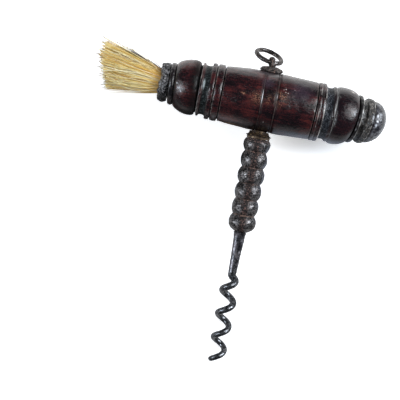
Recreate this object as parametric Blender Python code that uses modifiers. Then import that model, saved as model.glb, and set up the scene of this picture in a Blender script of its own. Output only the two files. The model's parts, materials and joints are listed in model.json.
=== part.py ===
# A T-handled corkscrew of about 1850: a turned rosewood handle with a dusting brush set in one
# end, an iron shank turned as a row of balls, a wire worm, and a ring to hang it by.
# Metres, +Z up. It lies on its side: the handle along X, the worm towards -Y, the ring at +Y.

import math
import random

import bmesh
import bpy
from mathutils import Matrix, Vector

part_name = "corkscrew"

# Clearances that every piece shares
seat_gap = 0.0003            # between pieces that seat on each other
cut_overrun = 0.002          # how far a cutter passes the face that it cuts
merge_distance = 0.00001

# Handle, along its own axis; lengths run outwards from the shank's axis
barrel_knob_length = 0.0229
barrel_brush_length = 0.0211
barrel_middle_diameter = 0.0289
barrel_knob_end_diameter = 0.0274
barrel_brush_end_diameter = 0.0264
line_offset = 0.0034         # the two lines scribed round the barrel, from the middle between them
line_middle = 0.0009         # that middle, from the shank's axis
line_width = 0.0009
line_depth = 0.00035
groove_width = 0.0006        # the sharp grooves between two turned members
groove_depth = 0.0007

knob_ring_width = 0.0019
knob_ring_diameter = 0.0279
knob_cove_width = 0.0034
knob_cove_diameter = 0.0252
knob_lip_width = 0.0016
knob_lip_diameter = 0.0264
knob_bead_width = 0.0108
knob_bead_diameter = 0.0267
knob_bead_root_diameter = 0.0226
knob_collar_width = 0.0024
knob_collar_diameter = 0.0233
button_band_width = 0.0046
button_band_diameter = 0.0214
button_dome_length = 0.0060
button_dome_diameter = 0.0210

brush_inner_ring_width = 0.0032
brush_inner_ring_diameter = 0.0274
brush_outer_ring_width = 0.0021
brush_outer_ring_diameter = 0.0272
brush_cove_width = 0.0032
brush_cove_diameter = 0.0240
brush_lip_width = 0.0013
brush_lip_diameter = 0.0254
brush_bead_width = 0.0114
brush_bead_diameter = 0.0254
brush_bead_root_diameter = 0.0200
brush_collar_width = 0.0025
brush_collar_diameter = 0.0200

# Brush, set in a bore in the handle's end
bore_diameter = 0.0134
bore_depth = 0.0105
bristle_root_diameter = 0.0098
bristle_rows = 13            # rows of cells across the roots, two bristles to a cell
bristle_inset = 0.00008      # taken off each side of a cell
backing_thickness = 0.0015
mouth_diameter = 0.0118      # the bundle where it leaves the pitch
brush_length = 0.0310        # bristle showing beyond the pitch
brush_ragged = 0.0060        # how far the shortest bristles fall behind the longest
brush_tip_diameter = 0.0230
brush_lean = math.radians(5.9)
binding_length = 0.0055
binding_thread = 0.0009      # thickness of the thread that binds the bristle roots
pitch_bead_length = 0.0044
pitch_bead_diameter = 0.0183
pitch_plug_length = 0.0034   # the part of the pitch inside the bore

# Shank, along its own axis; offsets run from the handle's axis
ball_count = 6
ball_diameter = 0.0130
ball_pitch = 0.00782
first_ball_crown = 0.0029    # from the first ball's middle to the collar
last_ball_diameter = 0.0134
last_ball_tail = 0.0043      # from the last ball's middle to the stem
collar_length = 0.0031
collar_handle_diameter = 0.0096
collar_rim_diameter = 0.0114
collar_ball_diameter = 0.0094
collar_rim_offset = 0.0011   # from the sharp rim to the ball-side face
tang_root_side = 0.0052
tang_end_side = 0.0042
tang_setback = 0.0008        # the tang stops this far under the barrel's surface
socket_depth = 0.0060        # for the worm's root in the last ball

# Worm
stem_root_diameter = 0.0054
stem_end_diameter = 0.0035
stem_length = 0.0192
worm_root_diameter = 0.0036
wire_diameter = 0.00275
point_diameter = 0.0004
worm_diameter = 0.0094       # over the wire
worm_pitch = 0.0114
worm_turns = 3.79
worm_lead_turns = 0.75       # the turns over which the wire winds out of the stem's axis
point_turns = 0.62           # the tapered end
worm_phase = math.radians(156)

# Top washer, eye and ring
washer_diameter = 0.0110
washer_rim = 0.0005
washer_height = 0.0020
bolt_diameter = 0.0021       # the eye's screwed end, held in the tang
bolt_depth = 0.0060
eye_diameter = 0.0044
eye_thickness = 0.0030
eye_hole_height = 0.0020     # the hole's centre above the washer
eye_neck_height = 0.0036
eye_height = 0.0052
eye_head_diameter = 0.0030
eye_turn = math.radians(19.5)
ring_wire_diameter = 0.00175
ring_diameter = 0.01425      # over the wire
ring_rest = math.radians(-61)    # swung towards the table from upright

# Number of steps round each turned piece
handle_steps = 30
shank_steps = 20
small_steps = 24
arc_points = 6


# The shapes shared by several pieces

def clear_scene():
    for old in list(bpy.data.objects):
        bpy.data.objects.remove(old, do_unlink=True)


def collection(name, hidden=False):
    made = bpy.data.collections.new(name)
    bpy.context.scene.collection.children.link(made)
    made.hide_render = hidden
    return made


def finish(name, color, roughness, metallic=0.0):
    material = bpy.data.materials.new(name)
    material.use_nodes = True
    shader = material.node_tree.nodes["Principled BSDF"]
    shader.inputs["Base Color"].default_value = (*color, 1.0)
    shader.inputs["Roughness"].default_value = roughness
    shader.inputs["Metallic"].default_value = metallic
    return material


def add_object(name, data, group, parent, material=None, turn=(0.0, 0.0, 0.0)):
    made = bpy.data.objects.new(name, data)
    made.parent = parent
    made.rotation_euler = turn
    group.objects.link(made)
    if material:
        made.data.materials.append(material)
    return made


def profile_mesh(name, outline):
    """A chain of (radius, station) points, from the top of the piece down its outer side."""
    mesh = bpy.data.meshes.new(name)
    shape = bmesh.new()
    points = [shape.verts.new((radius, 0.0, station)) for radius, station in outline]
    for upper, lower in zip(points, points[1:]):
        shape.edges.new((upper, lower))
    shape.to_mesh(mesh)
    shape.free()
    return mesh


def turned(name, outline, steps, group, parent, material, turn):
    made = add_object(name, profile_mesh(name, outline), group, parent, material, turn)
    screw = made.modifiers.new("turn", "SCREW")
    screw.axis = "Z"
    screw.steps = screw.render_steps = steps
    screw.use_merge_vertices = True
    screw.merge_threshold = merge_distance
    return made


def solid_mesh(name, shape):
    bmesh.ops.recalc_face_normals(shape, faces=shape.faces)
    if shape.calc_volume(signed=True) < 0:
        bmesh.ops.reverse_faces(shape, faces=shape.faces)
    mesh = bpy.data.meshes.new(name)
    shape.to_mesh(mesh)
    shape.free()
    return mesh


def combine(piece, other, operation):
    step = piece.modifiers.new(other.name, "BOOLEAN")
    step.operation = operation
    step.solver = "EXACT"
    step.object = other


def helper(name, mesh, cutters, parent, turn=(0.0, 0.0, 0.0)):
    made = add_object(name, mesh, cutters, parent, turn=turn)
    made.hide_render = True
    made.display_type = "WIRE"
    return made


def cylinder_mesh(name, radius, low, high, steps):
    shape = bmesh.new()
    bmesh.ops.create_cone(
        shape, cap_ends=True, segments=steps, radius1=radius, radius2=radius, depth=high - low
    )
    bmesh.ops.translate(shape, vec=(0.0, 0.0, (low + high) / 2), verts=shape.verts)
    return solid_mesh(name, shape)


def smooth(piece, angle=40):
    piece.data.shade_smooth()
    piece.data.set_sharp_from_angle(angle=math.radians(angle))


# Stretches of a turned outline. Each runs down from station top over its width.

def bead(top, width, root, crest, points=arc_points):
    """Half an ellipse that stands out from the root diameter, or a cove when crest is less."""
    return [
        (
            (root + (crest - root) * math.sin(math.pi * step / points)) / 2,
            top - width * (1 - math.cos(math.pi * step / points)) / 2,
        )
        for step in range(points + 1)
    ]


def groove(top, left, right):
    """A sharp groove between two members whose edge diameters are left and right."""
    floor = (min(left, right) - 2 * groove_depth) / 2
    return [(left / 2, top), (floor, top - groove_width / 2), (right / 2, top - groove_width)]


def scribed_line(center, surface):
    half = line_width / 2
    return [
        (surface(center + half), center + half),
        (surface(center) - line_depth, center),
        (surface(center - half), center - half),
    ]


# Directions: a turned piece is made along its own Z and laid along the handle or the shank
along_handle = (0.0, math.pi / 2, 0.0)
along_shank = (-math.pi / 2, 0.0, 0.0)

barrel_radius = barrel_middle_diameter / 2


def barrel_surface(station):
    """The barrel's radius at a station: it swells to its middle diameter at the shank."""
    if station > 0:
        share, end = station / barrel_knob_length, barrel_knob_end_diameter
    else:
        share, end = -station / barrel_brush_length, barrel_brush_end_diameter
    return (barrel_middle_diameter + (end - barrel_middle_diameter) * share ** 2) / 2


def barrel_outline():
    reach_shares = (0.85, 0.62, 0.38)
    knob_side = [share * barrel_knob_length for share in reach_shares]
    brush_side = [-share * barrel_brush_length for share in reversed(reach_shares)]
    outline = [(barrel_surface(station), station) for station in knob_side]
    outline += scribed_line(line_middle + line_offset, barrel_surface)
    outline += [(barrel_radius, 0.0)]
    outline += scribed_line(line_middle - line_offset, barrel_surface)
    return outline + [(barrel_surface(station), station) for station in brush_side]


def knob_outline():
    """From the button's tip to the barrel's end. Each station is worked out from the barrel."""
    ring_inner = barrel_knob_length + groove_width
    ring_outer = ring_inner + knob_ring_width
    cove = ring_outer + knob_ring_width
    lip = cove + knob_cove_width
    bead_start = lip + knob_lip_width
    collar = bead_start + knob_bead_width + groove_width
    band = collar + knob_collar_width + groove_width
    dome = band + button_band_width + groove_width
    tip = dome + button_dome_length
    ring_root = knob_ring_diameter - groove_depth
    outline = [
        (
            button_dome_diameter / 2 * math.sin(math.pi / 2 * step / arc_points),
            dome + (tip - dome) * math.cos(math.pi / 2 * step / arc_points),
        )
        for step in range(arc_points)
    ]
    band_root = button_band_diameter - groove_depth
    collar_root = knob_collar_diameter - groove_depth
    outline += groove(dome, button_dome_diameter, band_root)
    outline += bead(dome - groove_width, button_band_width, band_root, button_band_diameter, 4)[1:]
    outline += groove(band, band_root, collar_root)[1:]
    outline += bead(band - groove_width, knob_collar_width, collar_root, knob_collar_diameter, 4)[1:]
    outline += groove(collar, collar_root, knob_bead_root_diameter)[1:]
    outline += bead(
        collar - groove_width, knob_bead_width, knob_bead_root_diameter, knob_bead_diameter, 10
    )[1:]
    lip_root = knob_lip_diameter - groove_depth
    outline += bead(bead_start, knob_lip_width, lip_root, knob_lip_diameter, 3)
    outline += bead(lip, knob_cove_width, lip_root, knob_cove_diameter - groove_depth, 4)[1:]
    outline += bead(cove, knob_ring_width, ring_root, knob_ring_diameter, 3)
    outline += bead(ring_outer, knob_ring_width, ring_root, knob_ring_diameter, 3)[1:]
    return outline + groove(ring_inner, ring_root, barrel_knob_end_diameter)[1:]


def wood_end():
    """The station where the wood stops at the brush end, as a distance from the shank's axis."""
    return (
        barrel_brush_length
        + groove_width
        + brush_inner_ring_width
        + groove_width
        + brush_outer_ring_width
        + brush_cove_width
        + brush_lip_width
        + groove_width
        + brush_bead_width
        + brush_collar_width
    )


def brush_end_outline():
    """From the barrel's end down to the mouth of the bore."""
    inner_root = brush_inner_ring_diameter - groove_depth
    outer_root = brush_outer_ring_diameter - groove_depth
    lip_root = brush_lip_diameter - groove_depth
    top = -barrel_brush_length
    outline = groove(top, barrel_brush_end_diameter, inner_root)
    top -= groove_width
    outline += bead(top, brush_inner_ring_width, inner_root, brush_inner_ring_diameter, 4)[1:]
    top -= brush_inner_ring_width
    outline += groove(top, inner_root, outer_root)[1:]
    top -= groove_width
    outline += bead(top, brush_outer_ring_width, outer_root, brush_outer_ring_diameter, 3)[1:]
    top -= brush_outer_ring_width
    outline += bead(top, brush_cove_width, lip_root, brush_cove_diameter - groove_depth, 4)
    top -= brush_cove_width
    outline += bead(top, brush_lip_width, lip_root, brush_lip_diameter, 3)[1:]
    top -= brush_lip_width
    outline += groove(top, lip_root, brush_bead_root_diameter)[1:]
    top -= groove_width
    outline += bead(top, brush_bead_width, brush_bead_root_diameter, brush_bead_diameter, 10)[1:]
    top -= brush_bead_width
    collar_root = brush_collar_diameter - 2 * groove_depth
    outline += bead(top, brush_collar_width, collar_root, brush_collar_diameter, 4)
    mouth = -wood_end()
    return outline + [
        (bore_diameter / 2, mouth),
        (bore_diameter / 2, mouth + bore_depth),
        (0.0, mouth + bore_depth),
    ]


# Stations along the shank, positive towards the ring
collar_seat = barrel_radius + seat_gap
shank_shoulder = -(collar_seat + collar_length + seat_gap)
first_ball = shank_shoulder - first_ball_crown
last_ball = first_ball - (ball_count - 1) * ball_pitch
ball_tail = last_ball - last_ball_tail
tang_end = barrel_radius - tang_setback
tang_length = tang_end - shank_shoulder
washer_top = barrel_radius + seat_gap + washer_height
eye_foot = washer_top + seat_gap
eye_hole = washer_top + eye_hole_height
stem_top = ball_tail - seat_gap


def tang_side(station):
    share = (station - shank_shoulder) / tang_length
    return tang_root_side + (tang_end_side - tang_root_side) * share


def tapered_square(name, low, high, low_side, high_side):
    """A four-sided tang or its hole, with its flats square to the handle."""
    shape = bmesh.new()
    bmesh.ops.create_cone(
        shape,
        cap_ends=True,
        segments=4,
        radius1=low_side / math.sqrt(2),
        radius2=high_side / math.sqrt(2),
        depth=high - low,
        matrix=Matrix.Rotation(math.pi / 4, 4, "Z"),
    )
    bmesh.ops.translate(shape, vec=(0.0, 0.0, (low + high) / 2), verts=shape.verts)
    return solid_mesh(name, shape)


# The pieces

def make_handle(parts, cutters, root, wood):
    outline = knob_outline() + barrel_outline() + brush_end_outline()
    handle = turned("handle", outline, handle_steps, parts, root, wood, along_handle)
    low, high = -barrel_radius - cut_overrun, barrel_radius + cut_overrun
    sides = [tang_side(station) + 2 * seat_gap for station in (low, high)]
    hole = tapered_square("tang_hole_cutter", low, high, *sides)
    combine(handle, helper("tang_hole_cutter", hole, cutters, root, along_shank), "DIFFERENCE")
    smooth(handle)


def half_ball(center, diameter, reach, end_diameter, points=3):
    """A ball's outline from its middle to where it meets its neighbour: reach is that distance,
    negative below the middle, and end_diameter the diameter there."""
    steepest = math.acos(end_diameter / diameter)
    outline = []
    for step in range(points + 1):
        angle = steepest * step / points
        station = center + reach * math.sin(angle) / math.sin(steepest)
        outline.append((diameter / 2 * math.cos(angle), station))
    return outline


def make_shank(parts, cutters, root, iron):
    half_pitch = ball_pitch / 2
    neck = math.sqrt(ball_diameter ** 2 - ball_pitch ** 2)
    outline = [(0.0, shank_shoulder)]
    for number in range(ball_count):
        center = first_ball - number * ball_pitch
        diameter = last_ball_diameter if number == ball_count - 1 else ball_diameter
        if number == 0:
            crown = half_ball(center, diameter, first_ball_crown, collar_ball_diameter)
        else:
            crown = half_ball(center, diameter, half_pitch, neck)[:-1]
        if number == ball_count - 1:
            tail = half_ball(center, diameter, -last_ball_tail, stem_root_diameter, 4)
        else:
            tail = half_ball(center, diameter, -half_pitch, neck)
        outline += crown[::-1] + tail[1:]
    socket = worm_root_diameter / 2 + seat_gap
    outline += [
        (socket, ball_tail),
        (socket, ball_tail + socket_depth),
        (0.0, ball_tail + socket_depth),
    ]
    shank = turned("shank", outline, shank_steps, parts, root, iron, along_shank)
    tang_root = shank_shoulder - cut_overrun
    tang = tapered_square(
        "tang_form", tang_root, tang_end, tang_side(tang_root), tang_side(tang_end)
    )
    combine(shank, helper("tang_form", tang, cutters, root, along_shank), "UNION")
    bolt_bore = cylinder_mesh(
        "bolt_bore_cutter",
        bolt_diameter / 2 + seat_gap,
        washer_top - bolt_depth - seat_gap,
        tang_end + cut_overrun,
        small_steps // 2,
    )
    bore = helper("bolt_bore_cutter", bolt_bore, cutters, root, along_shank)
    combine(shank, bore, "DIFFERENCE")
    smooth(shank)


def worm_points():
    """(place, diameter) along the worm's wire, from its root in the last ball to its point."""
    pin_top = ball_tail + socket_depth - seat_gap
    shoulder = wire_diameter / 12
    stem_end = stem_top - stem_length
    points = [
        (Vector((0.0, 0.0, pin_top)), worm_root_diameter),
        (Vector((0.0, 0.0, stem_top)), worm_root_diameter),
        (Vector((0.0, 0.0, stem_top - shoulder)), stem_root_diameter),
        (Vector((0.0, 0.0, (stem_top + stem_end) / 2)), (stem_root_diameter + stem_end_diameter) / 2),
        (Vector((0.0, 0.0, stem_end)), stem_end_diameter),
    ]
    coil_radius = (worm_diameter - wire_diameter) / 2
    points_a_turn = 20
    steps = round(worm_turns * points_a_turn)
    for step in range(1, steps + 1):
        turn = worm_turns * step / steps
        lead = min(turn / worm_lead_turns, 1.0)
        radius = coil_radius * lead * lead * (3 - 2 * lead)
        angle = worm_phase - 2 * math.pi * turn
        place = Vector(
            (radius * math.cos(angle), radius * math.sin(angle), stem_end - worm_pitch * turn)
        )
        wire = stem_end_diameter + (wire_diameter - stem_end_diameter) * lead
        to_point = max(worm_turns - turn, 0.0) / point_turns
        if to_point < 1:
            wire = point_diameter + (wire_diameter - point_diameter) * to_point ** 0.7
        points.append((place, wire))
    return points


def make_worm(parts, root, iron):
    curve = bpy.data.curves.new("worm", "CURVE")
    curve.dimensions = "3D"
    curve.bevel_depth = wire_diameter / 2
    curve.bevel_resolution = 2
    curve.use_fill_caps = True
    route = worm_points()
    spline = curve.splines.new("POLY")
    spline.points.add(len(route) - 1)
    for point, (place, diameter) in zip(spline.points, route):
        point.co = (*place, 1.0)
        point.radius = diameter / wire_diameter
    return add_object("worm", curve, parts, root, iron, along_shank)


def barrel_cutter(cutters, root):
    """The barrel grown by the seat gap: it hollows the collar to sit on the wood."""
    reach = collar_rim_diameter
    mesh = cylinder_mesh(
        "barrel_cutter", barrel_radius + seat_gap, -reach, reach, 2 * handle_steps
    )
    return helper("barrel_cutter", mesh, cutters, root, along_handle)


def make_lower_collar(parts, cutters, root, brass):
    """Between the handle and the first ball, flared to a sharp rim and hollowed to the barrel."""
    low = shank_shoulder + seat_gap
    rim = low + collar_rim_offset
    sink = barrel_radius - math.sqrt(barrel_radius ** 2 - (collar_handle_diameter / 2) ** 2)
    high = -collar_seat + 2 * sink
    bore = tang_side(high) / math.sqrt(2) + seat_gap
    bore_low = tang_side(low) / math.sqrt(2) + seat_gap
    outline = [
        (bore, high),
        (collar_handle_diameter / 2, high),
        (collar_handle_diameter / 2, -collar_seat),
        (collar_rim_diameter / 2, rim + groove_width / 2),
        (collar_rim_diameter / 2, rim),
        (collar_ball_diameter / 2, low),
        (bore_low, low),
        (bore, high),
    ]
    collar = turned("lower_collar", outline, small_steps, parts, root, brass, along_shank)
    combine(collar, barrel_cutter(cutters, root), "DIFFERENCE")
    smooth(collar, 30)


def make_washer(parts, root, iron):
    """A domed washer, bent like a saddle to sit on the barrel under the eye."""
    foot = barrel_radius + seat_gap
    bore = bolt_diameter / 2 + seat_gap
    points = 5
    shape = bmesh.new()
    outline = [(bore, foot)]
    for step in range(points + 1):
        angle = math.pi / 2 * step / points
        radius = bore + (washer_diameter / 2 - bore) * math.sin(angle)
        outline.append((radius, foot + washer_rim + (washer_height - washer_rim) * math.cos(angle)))
    outline.append((washer_diameter / 2, foot))
    chain = [shape.verts.new((radius, station, 0.0)) for radius, station in outline]
    edges = [shape.edges.new(pair) for pair in zip(chain, chain[1:] + chain[:1])]
    bmesh.ops.spin(
        shape,
        geom=chain + edges,
        axis=(0.0, 1.0, 0.0),
        cent=(0.0, 0.0, 0.0),
        steps=small_steps,
        angle=2 * math.pi,
        use_merge=True,
    )
    bmesh.ops.remove_doubles(shape, verts=shape.verts, dist=merge_distance)
    for vert in shape.verts:
        if math.hypot(vert.co.x, vert.co.z) > bore + seat_gap:
            vert.co.y -= foot - math.sqrt(foot ** 2 - vert.co.z ** 2)
    washer = add_object("upper_washer", solid_mesh("upper_washer", shape), parts, root, iron)
    smooth(washer)


def make_eye(parts, cutters, root, iron):
    """An eye bolt: its screwed end runs down into the tang and holds the washer on the handle."""
    head = eye_head_diameter / 2
    top = washer_top + eye_height
    head_center = top - head
    neck = washer_top + eye_neck_height
    outline = [(0.0, top)]
    for step in range(1, 5):
        angle = math.pi / 2 * step / 4
        outline.append((head * math.sin(angle), head_center + head * math.cos(angle)))
    outline += [
        (head, neck),
        (eye_diameter / 2, eye_hole + eye_hole_height / 4),
        (eye_diameter / 2, eye_hole - eye_hole_height / 4),
        (head + groove_depth / 2, eye_foot),
        (bolt_diameter / 2, eye_foot),
        (bolt_diameter / 2, washer_top - bolt_depth),
        (0.0, washer_top - bolt_depth),
    ]
    eye = turned("ring_eye", outline, small_steps - 4, parts, root, iron, along_shank)
    hole_radius = ring_wire_diameter / 2 + seat_gap
    hole = cylinder_mesh("eye_hole_cutter", hole_radius, -eye_diameter, eye_diameter, small_steps)
    drill = helper("eye_hole_cutter", hole, cutters, root, (0.0, math.pi / 2 + eye_turn, 0.0))
    drill.location = (0.0, eye_hole, 0.0)
    combine(eye, drill, "DIFFERENCE")
    for side in (-1, 1):
        shape = bmesh.new()
        bmesh.ops.create_cube(shape, size=2 * eye_diameter)
        offset = side * (eye_thickness / 2 + eye_diameter)
        bmesh.ops.translate(shape, vec=(0.0, 0.0, offset), verts=shape.verts)
        name = "eye_flat_cutter_" + ("far" if side > 0 else "near")
        flat = helper(name, solid_mesh(name, shape), cutters, root, drill.rotation_euler)
        flat.location = (0.0, eye_foot + eye_diameter, 0.0)
        combine(eye, flat, "DIFFERENCE")
    smooth(eye)


def make_ring(parts, root, iron):
    """The hanging ring. Its parent empty stands in the eye's hole, with X along the hinge."""
    pivot = bpy.data.objects.new("ring_pivot", None)
    pivot.parent = root
    pivot.location = (0.0, eye_hole, 0.0)
    turned_eye = Matrix.Rotation(eye_turn, 4, "Y")
    pivot.rotation_euler = (turned_eye @ Matrix.Rotation(ring_rest, 4, "X")).to_euler()
    parts.objects.link(pivot)
    wire = ring_wire_diameter / 2
    coil = (ring_diameter - ring_wire_diameter) / 2
    bpy.ops.mesh.primitive_torus_add(
        major_segments=40, minor_segments=8, major_radius=coil, minor_radius=wire
    )
    ring = bpy.context.active_object
    ring.name = ring.data.name = "suspension_ring"
    for group in list(ring.users_collection):
        group.objects.unlink(ring)
    parts.objects.link(ring)
    ring.parent = pivot
    ring.location = (0.0, coil, 0.0)
    ring.data.materials.append(iron)
    ring.data.shade_smooth()
    return pivot


def make_bristles(parts, root, hair):
    """Three-sided bristles that rise from one backing slice and fan out of the handle's end."""
    bore_floor = -wood_end() + bore_depth
    slice_top = bore_floor - seat_gap - backing_thickness
    mouth = -(wood_end() + seat_gap + pitch_bead_length)
    root_radius = bristle_root_diameter / 2
    shape = bmesh.new()
    bmesh.ops.create_grid(shape, x_segments=bristle_rows, y_segments=bristle_rows, size=1.0)
    for vert in shape.verts:
        # The square is drawn in to a disc, and every cell keeps its place in its row.
        across, along = vert.co.xy
        vert.co.x = root_radius * across * math.sqrt(1 - along * along / 2)
        vert.co.y = root_radius * along * math.sqrt(1 - across * across / 2)
    bmesh.ops.triangulate(shape, faces=shape.faces)
    backing = list(shape.faces)
    mean_area = sum(face.calc_area() for face in backing) / len(backing)
    sockets = [face for face in backing if face.calc_area() > mean_area / 2]
    slab = bmesh.ops.extrude_face_region(shape, geom=backing)
    slab_verts = [item for item in slab["geom"] if isinstance(item, bmesh.types.BMVert)]
    bmesh.ops.translate(shape, vec=(0.0, 0.0, -backing_thickness), verts=slab_verts)
    bmesh.ops.recalc_face_normals(shape, faces=shape.faces)
    bmesh.ops.inset_individual(shape, faces=sockets, thickness=bristle_inset)
    chance = random.Random(7)
    tip_growth = brush_tip_diameter / bristle_root_diameter
    mouth_growth = mouth_diameter / bristle_root_diameter
    mouth_rise = slice_top - mouth
    lean = math.tan(brush_lean)
    strands = [face.calc_center_median().xy for face in sockets]
    lengths = [brush_length - brush_ragged * chance.random() for strand in strands]
    placed = [Vector((0.0, 0.0, 0.0)) for strand in strands]
    tips = sockets
    for stage in ("mouth", "tip"):
        tips = bmesh.ops.extrude_discrete_faces(shape, faces=tips)["faces"]
        for number, face in enumerate(tips):
            center = strands[number]
            if stage == "mouth":
                aim = (center * (mouth_growth - 1)).to_3d()
                aim.z = mouth_rise
            else:
                reach = lengths[number]
                share = reach / brush_length
                aim = (center * (mouth_growth + (tip_growth - mouth_growth) * share - 1)).to_3d()
                aim.x += lean * reach
                aim.z = mouth_rise + reach
            move = aim - placed[number]
            placed[number] = aim
            bmesh.ops.translate(shape, vec=move, verts=face.verts)
    # The slice lies in X and Y here, so it is laid along the handle with its bristles at -X
    # and its lean towards +Y.
    lay = Matrix(((0.0, 0.0, -1.0), (1.0, 0.0, 0.0), (0.0, -1.0, 0.0))).to_4x4()
    lay.translation = (slice_top, 0.0, 0.0)
    bmesh.ops.transform(shape, matrix=lay, verts=shape.verts)
    bristles = add_object("bristles", solid_mesh("bristles", shape), parts, root, hair)
    print("bristles:", len(strands))
    return bristles


def make_binding(parts, root, thread):
    """The waxed thread wound round the bristle roots, one turn beside the next."""
    top = -wood_end() + bore_depth - seat_gap
    inner = bristle_root_diameter / 2 + seat_gap
    outer = bore_diameter / 2 - seat_gap
    turns = round(binding_length / binding_thread)
    outline = [(inner, top)]
    for number in range(turns):
        start = top - number * binding_thread
        rib = bead(start, binding_thread, 2 * outer - binding_thread / 2, 2 * outer, 2)
        outline += rib if number == 0 else rib[1:]
    outline += [(inner, top - turns * binding_thread), (inner, top)]
    turned("bristle_binding", outline, small_steps, parts, root, thread, along_handle)


def make_pitch(parts, root, pitch):
    """Black pitch that seals the bristles in the bore and stands out round them as a bead."""
    face = -wood_end() - seat_gap
    plug_top = -wood_end() + pitch_plug_length
    tail = face - pitch_bead_length
    inner = mouth_diameter / 2 + seat_gap
    plug = bore_diameter / 2 - seat_gap
    outline = [(inner, plug_top), (plug, plug_top), (plug, face)]
    shoulder = pitch_bead_diameter - groove_width
    outline += bead(face, pitch_bead_length, shoulder - groove_depth, pitch_bead_diameter, 6)
    outline += [(inner, tail), (inner, plug_top)]
    turned("pitch_plug", outline, small_steps, parts, root, pitch, along_handle)


def lay_down(root):
    """Pitches the corkscrew so that the barrel and the worm both touch the ground, then sets the
    ground and the middle of the box at zero."""
    coil_radius = worm_diameter / 2
    lowest_turn = -(stem_top - stem_length - worm_pitch * (worm_turns - point_turns))
    reach = math.hypot(lowest_turn, coil_radius)
    pitch = math.asin(barrel_radius / reach) - math.atan2(coil_radius, lowest_turn)
    root.rotation_euler = (pitch, 0.0, 0.0)
    bpy.context.view_layer.update()
    graph = bpy.context.evaluated_depsgraph_get()
    low = Vector((math.inf, math.inf, math.inf))
    high = -low
    for piece in bpy.data.collections[part_name].objects:
        if piece.type == "EMPTY":
            continue
        shown = piece.evaluated_get(graph)
        mesh = shown.to_mesh()
        for vert in mesh.vertices:
            place = shown.matrix_world @ vert.co
            low = Vector(map(min, low, place))
            high = Vector(map(max, high, place))
        shown.to_mesh_clear()
    root.location = (-(low.x + high.x) / 2, -(low.y + high.y) / 2, -low.z)
    bpy.context.view_layer.update()
    print("size:", [round(1000 * side, 2) for side in high - low], "pitch:", math.degrees(pitch))


def main():
    clear_scene()
    parts = collection(part_name)
    cutters = collection("cutters", hidden=True)
    root = bpy.data.objects.new(part_name + "_frame", None)
    parts.objects.link(root)

    wood = finish("rosewood", (0.055, 0.014, 0.012), 0.28)
    iron = finish("wrought_iron", (0.075, 0.070, 0.072), 0.48, 0.85)
    worm_iron = finish("worm_iron", (0.085, 0.085, 0.090), 0.42, 0.90)
    brass = finish("collar_brass", (0.230, 0.140, 0.065), 0.55, 0.60)
    hair = finish("bristle", (0.640, 0.450, 0.180), 0.55)
    thread = finish("waxed_thread", (0.180, 0.120, 0.070), 0.80)
    pitch = finish("pitch", (0.018, 0.016, 0.018), 0.30)

    make_handle(parts, cutters, root, wood)
    make_shank(parts, cutters, root, iron)
    make_worm(parts, root, worm_iron)
    make_lower_collar(parts, cutters, root, brass)
    make_washer(parts, root, iron)
    make_eye(parts, cutters, root, iron)
    pivot = make_ring(parts, root, iron)
    make_bristles(parts, root, hair)
    make_binding(parts, root, thread)
    make_pitch(parts, root, pitch)
    lay_down(root)

    place = pivot.matrix_world
    print("hinge at:", [round(value, 6) for value in place.translation])
    print("hinge axis:", [round(value, 6) for value in place.col[0].xyz])
    print("washer, hole and ball stations:", washer_top, eye_hole, first_ball, last_ball, ball_tail)


main()
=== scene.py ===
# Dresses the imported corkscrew: a turned rosewood handle with a brush in one end, an iron shank
# turned as a row of balls, a wire worm and a hanging ring. Metres, Blender 4.5.
import json
import math
import random
from functools import partial, reduce

import bmesh
import bpy
import numpy
from mathutils import Matrix, Vector, noise


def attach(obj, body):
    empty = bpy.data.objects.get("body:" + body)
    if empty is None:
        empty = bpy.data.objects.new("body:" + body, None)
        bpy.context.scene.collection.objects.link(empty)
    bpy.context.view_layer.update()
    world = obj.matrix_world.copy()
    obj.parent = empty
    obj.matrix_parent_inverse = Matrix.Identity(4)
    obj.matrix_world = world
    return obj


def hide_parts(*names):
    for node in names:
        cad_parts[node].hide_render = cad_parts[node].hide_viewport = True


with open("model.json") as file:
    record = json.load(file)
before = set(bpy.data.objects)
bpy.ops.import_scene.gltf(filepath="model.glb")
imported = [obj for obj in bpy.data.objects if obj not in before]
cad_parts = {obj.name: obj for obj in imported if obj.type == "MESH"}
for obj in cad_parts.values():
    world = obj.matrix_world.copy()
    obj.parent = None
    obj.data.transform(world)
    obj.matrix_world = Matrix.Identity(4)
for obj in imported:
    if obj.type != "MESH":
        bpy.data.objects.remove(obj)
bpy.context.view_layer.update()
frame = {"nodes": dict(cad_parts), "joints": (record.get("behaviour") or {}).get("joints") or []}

# The corkscrew's own directions: X along the handle to the knob, Y up the shank to the ring,
# Z away from the table. It lies with the worm's end a little lower.
lie = {
    "pitch": math.radians(4.664448),
    "eyeHole": 0.01875,  # from the handle's axis up to the ring's hinge
}
toolTurn = Matrix.Rotation(lie["pitch"], 4, "X")
hinge = Vector(frame["joints"][0]["pos_m"])
crossing = hinge - toolTurn @ Vector((0, lie["eyeHole"], 0))  # handle's axis meets the shank's
toolPlace = Matrix.Translation(crossing) @ toolTurn
seat = 0.0003  # the gap between pieces that touch


# Helpers for the shapes

def limited(share):
    return min(max(share, 0), 1)


def eased(share):
    # 0 to 1 with a soft start and a soft end
    share = limited(share)
    return share * share * (3 - 2 * share)


def swing(steps, start, end):
    # (share, sine, cosine) of an angle that goes from start to end, in steps
    for step in range(steps + 1):
        turn = start + (end - start) * step / steps
        yield step / steps, math.sin(turn), math.cos(turn)


def walkMembers(members, start, side):
    # Turned members one after another, outwards from start. Each is its width, its radius at the
    # near edge, at the middle and at the far edge, and its number of steps.
    outline = []
    station = start
    for width, near, middle, far, steps in members:
        for share, sine, cosine in swing(steps, 0, math.pi):
            across = (1 - cosine) / 2
            radius = near + (far - near) * across + (middle - (near + far) / 2) * sine
            outline.append((station + side * width * across, radius))
        station += side * width
    return outline


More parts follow.
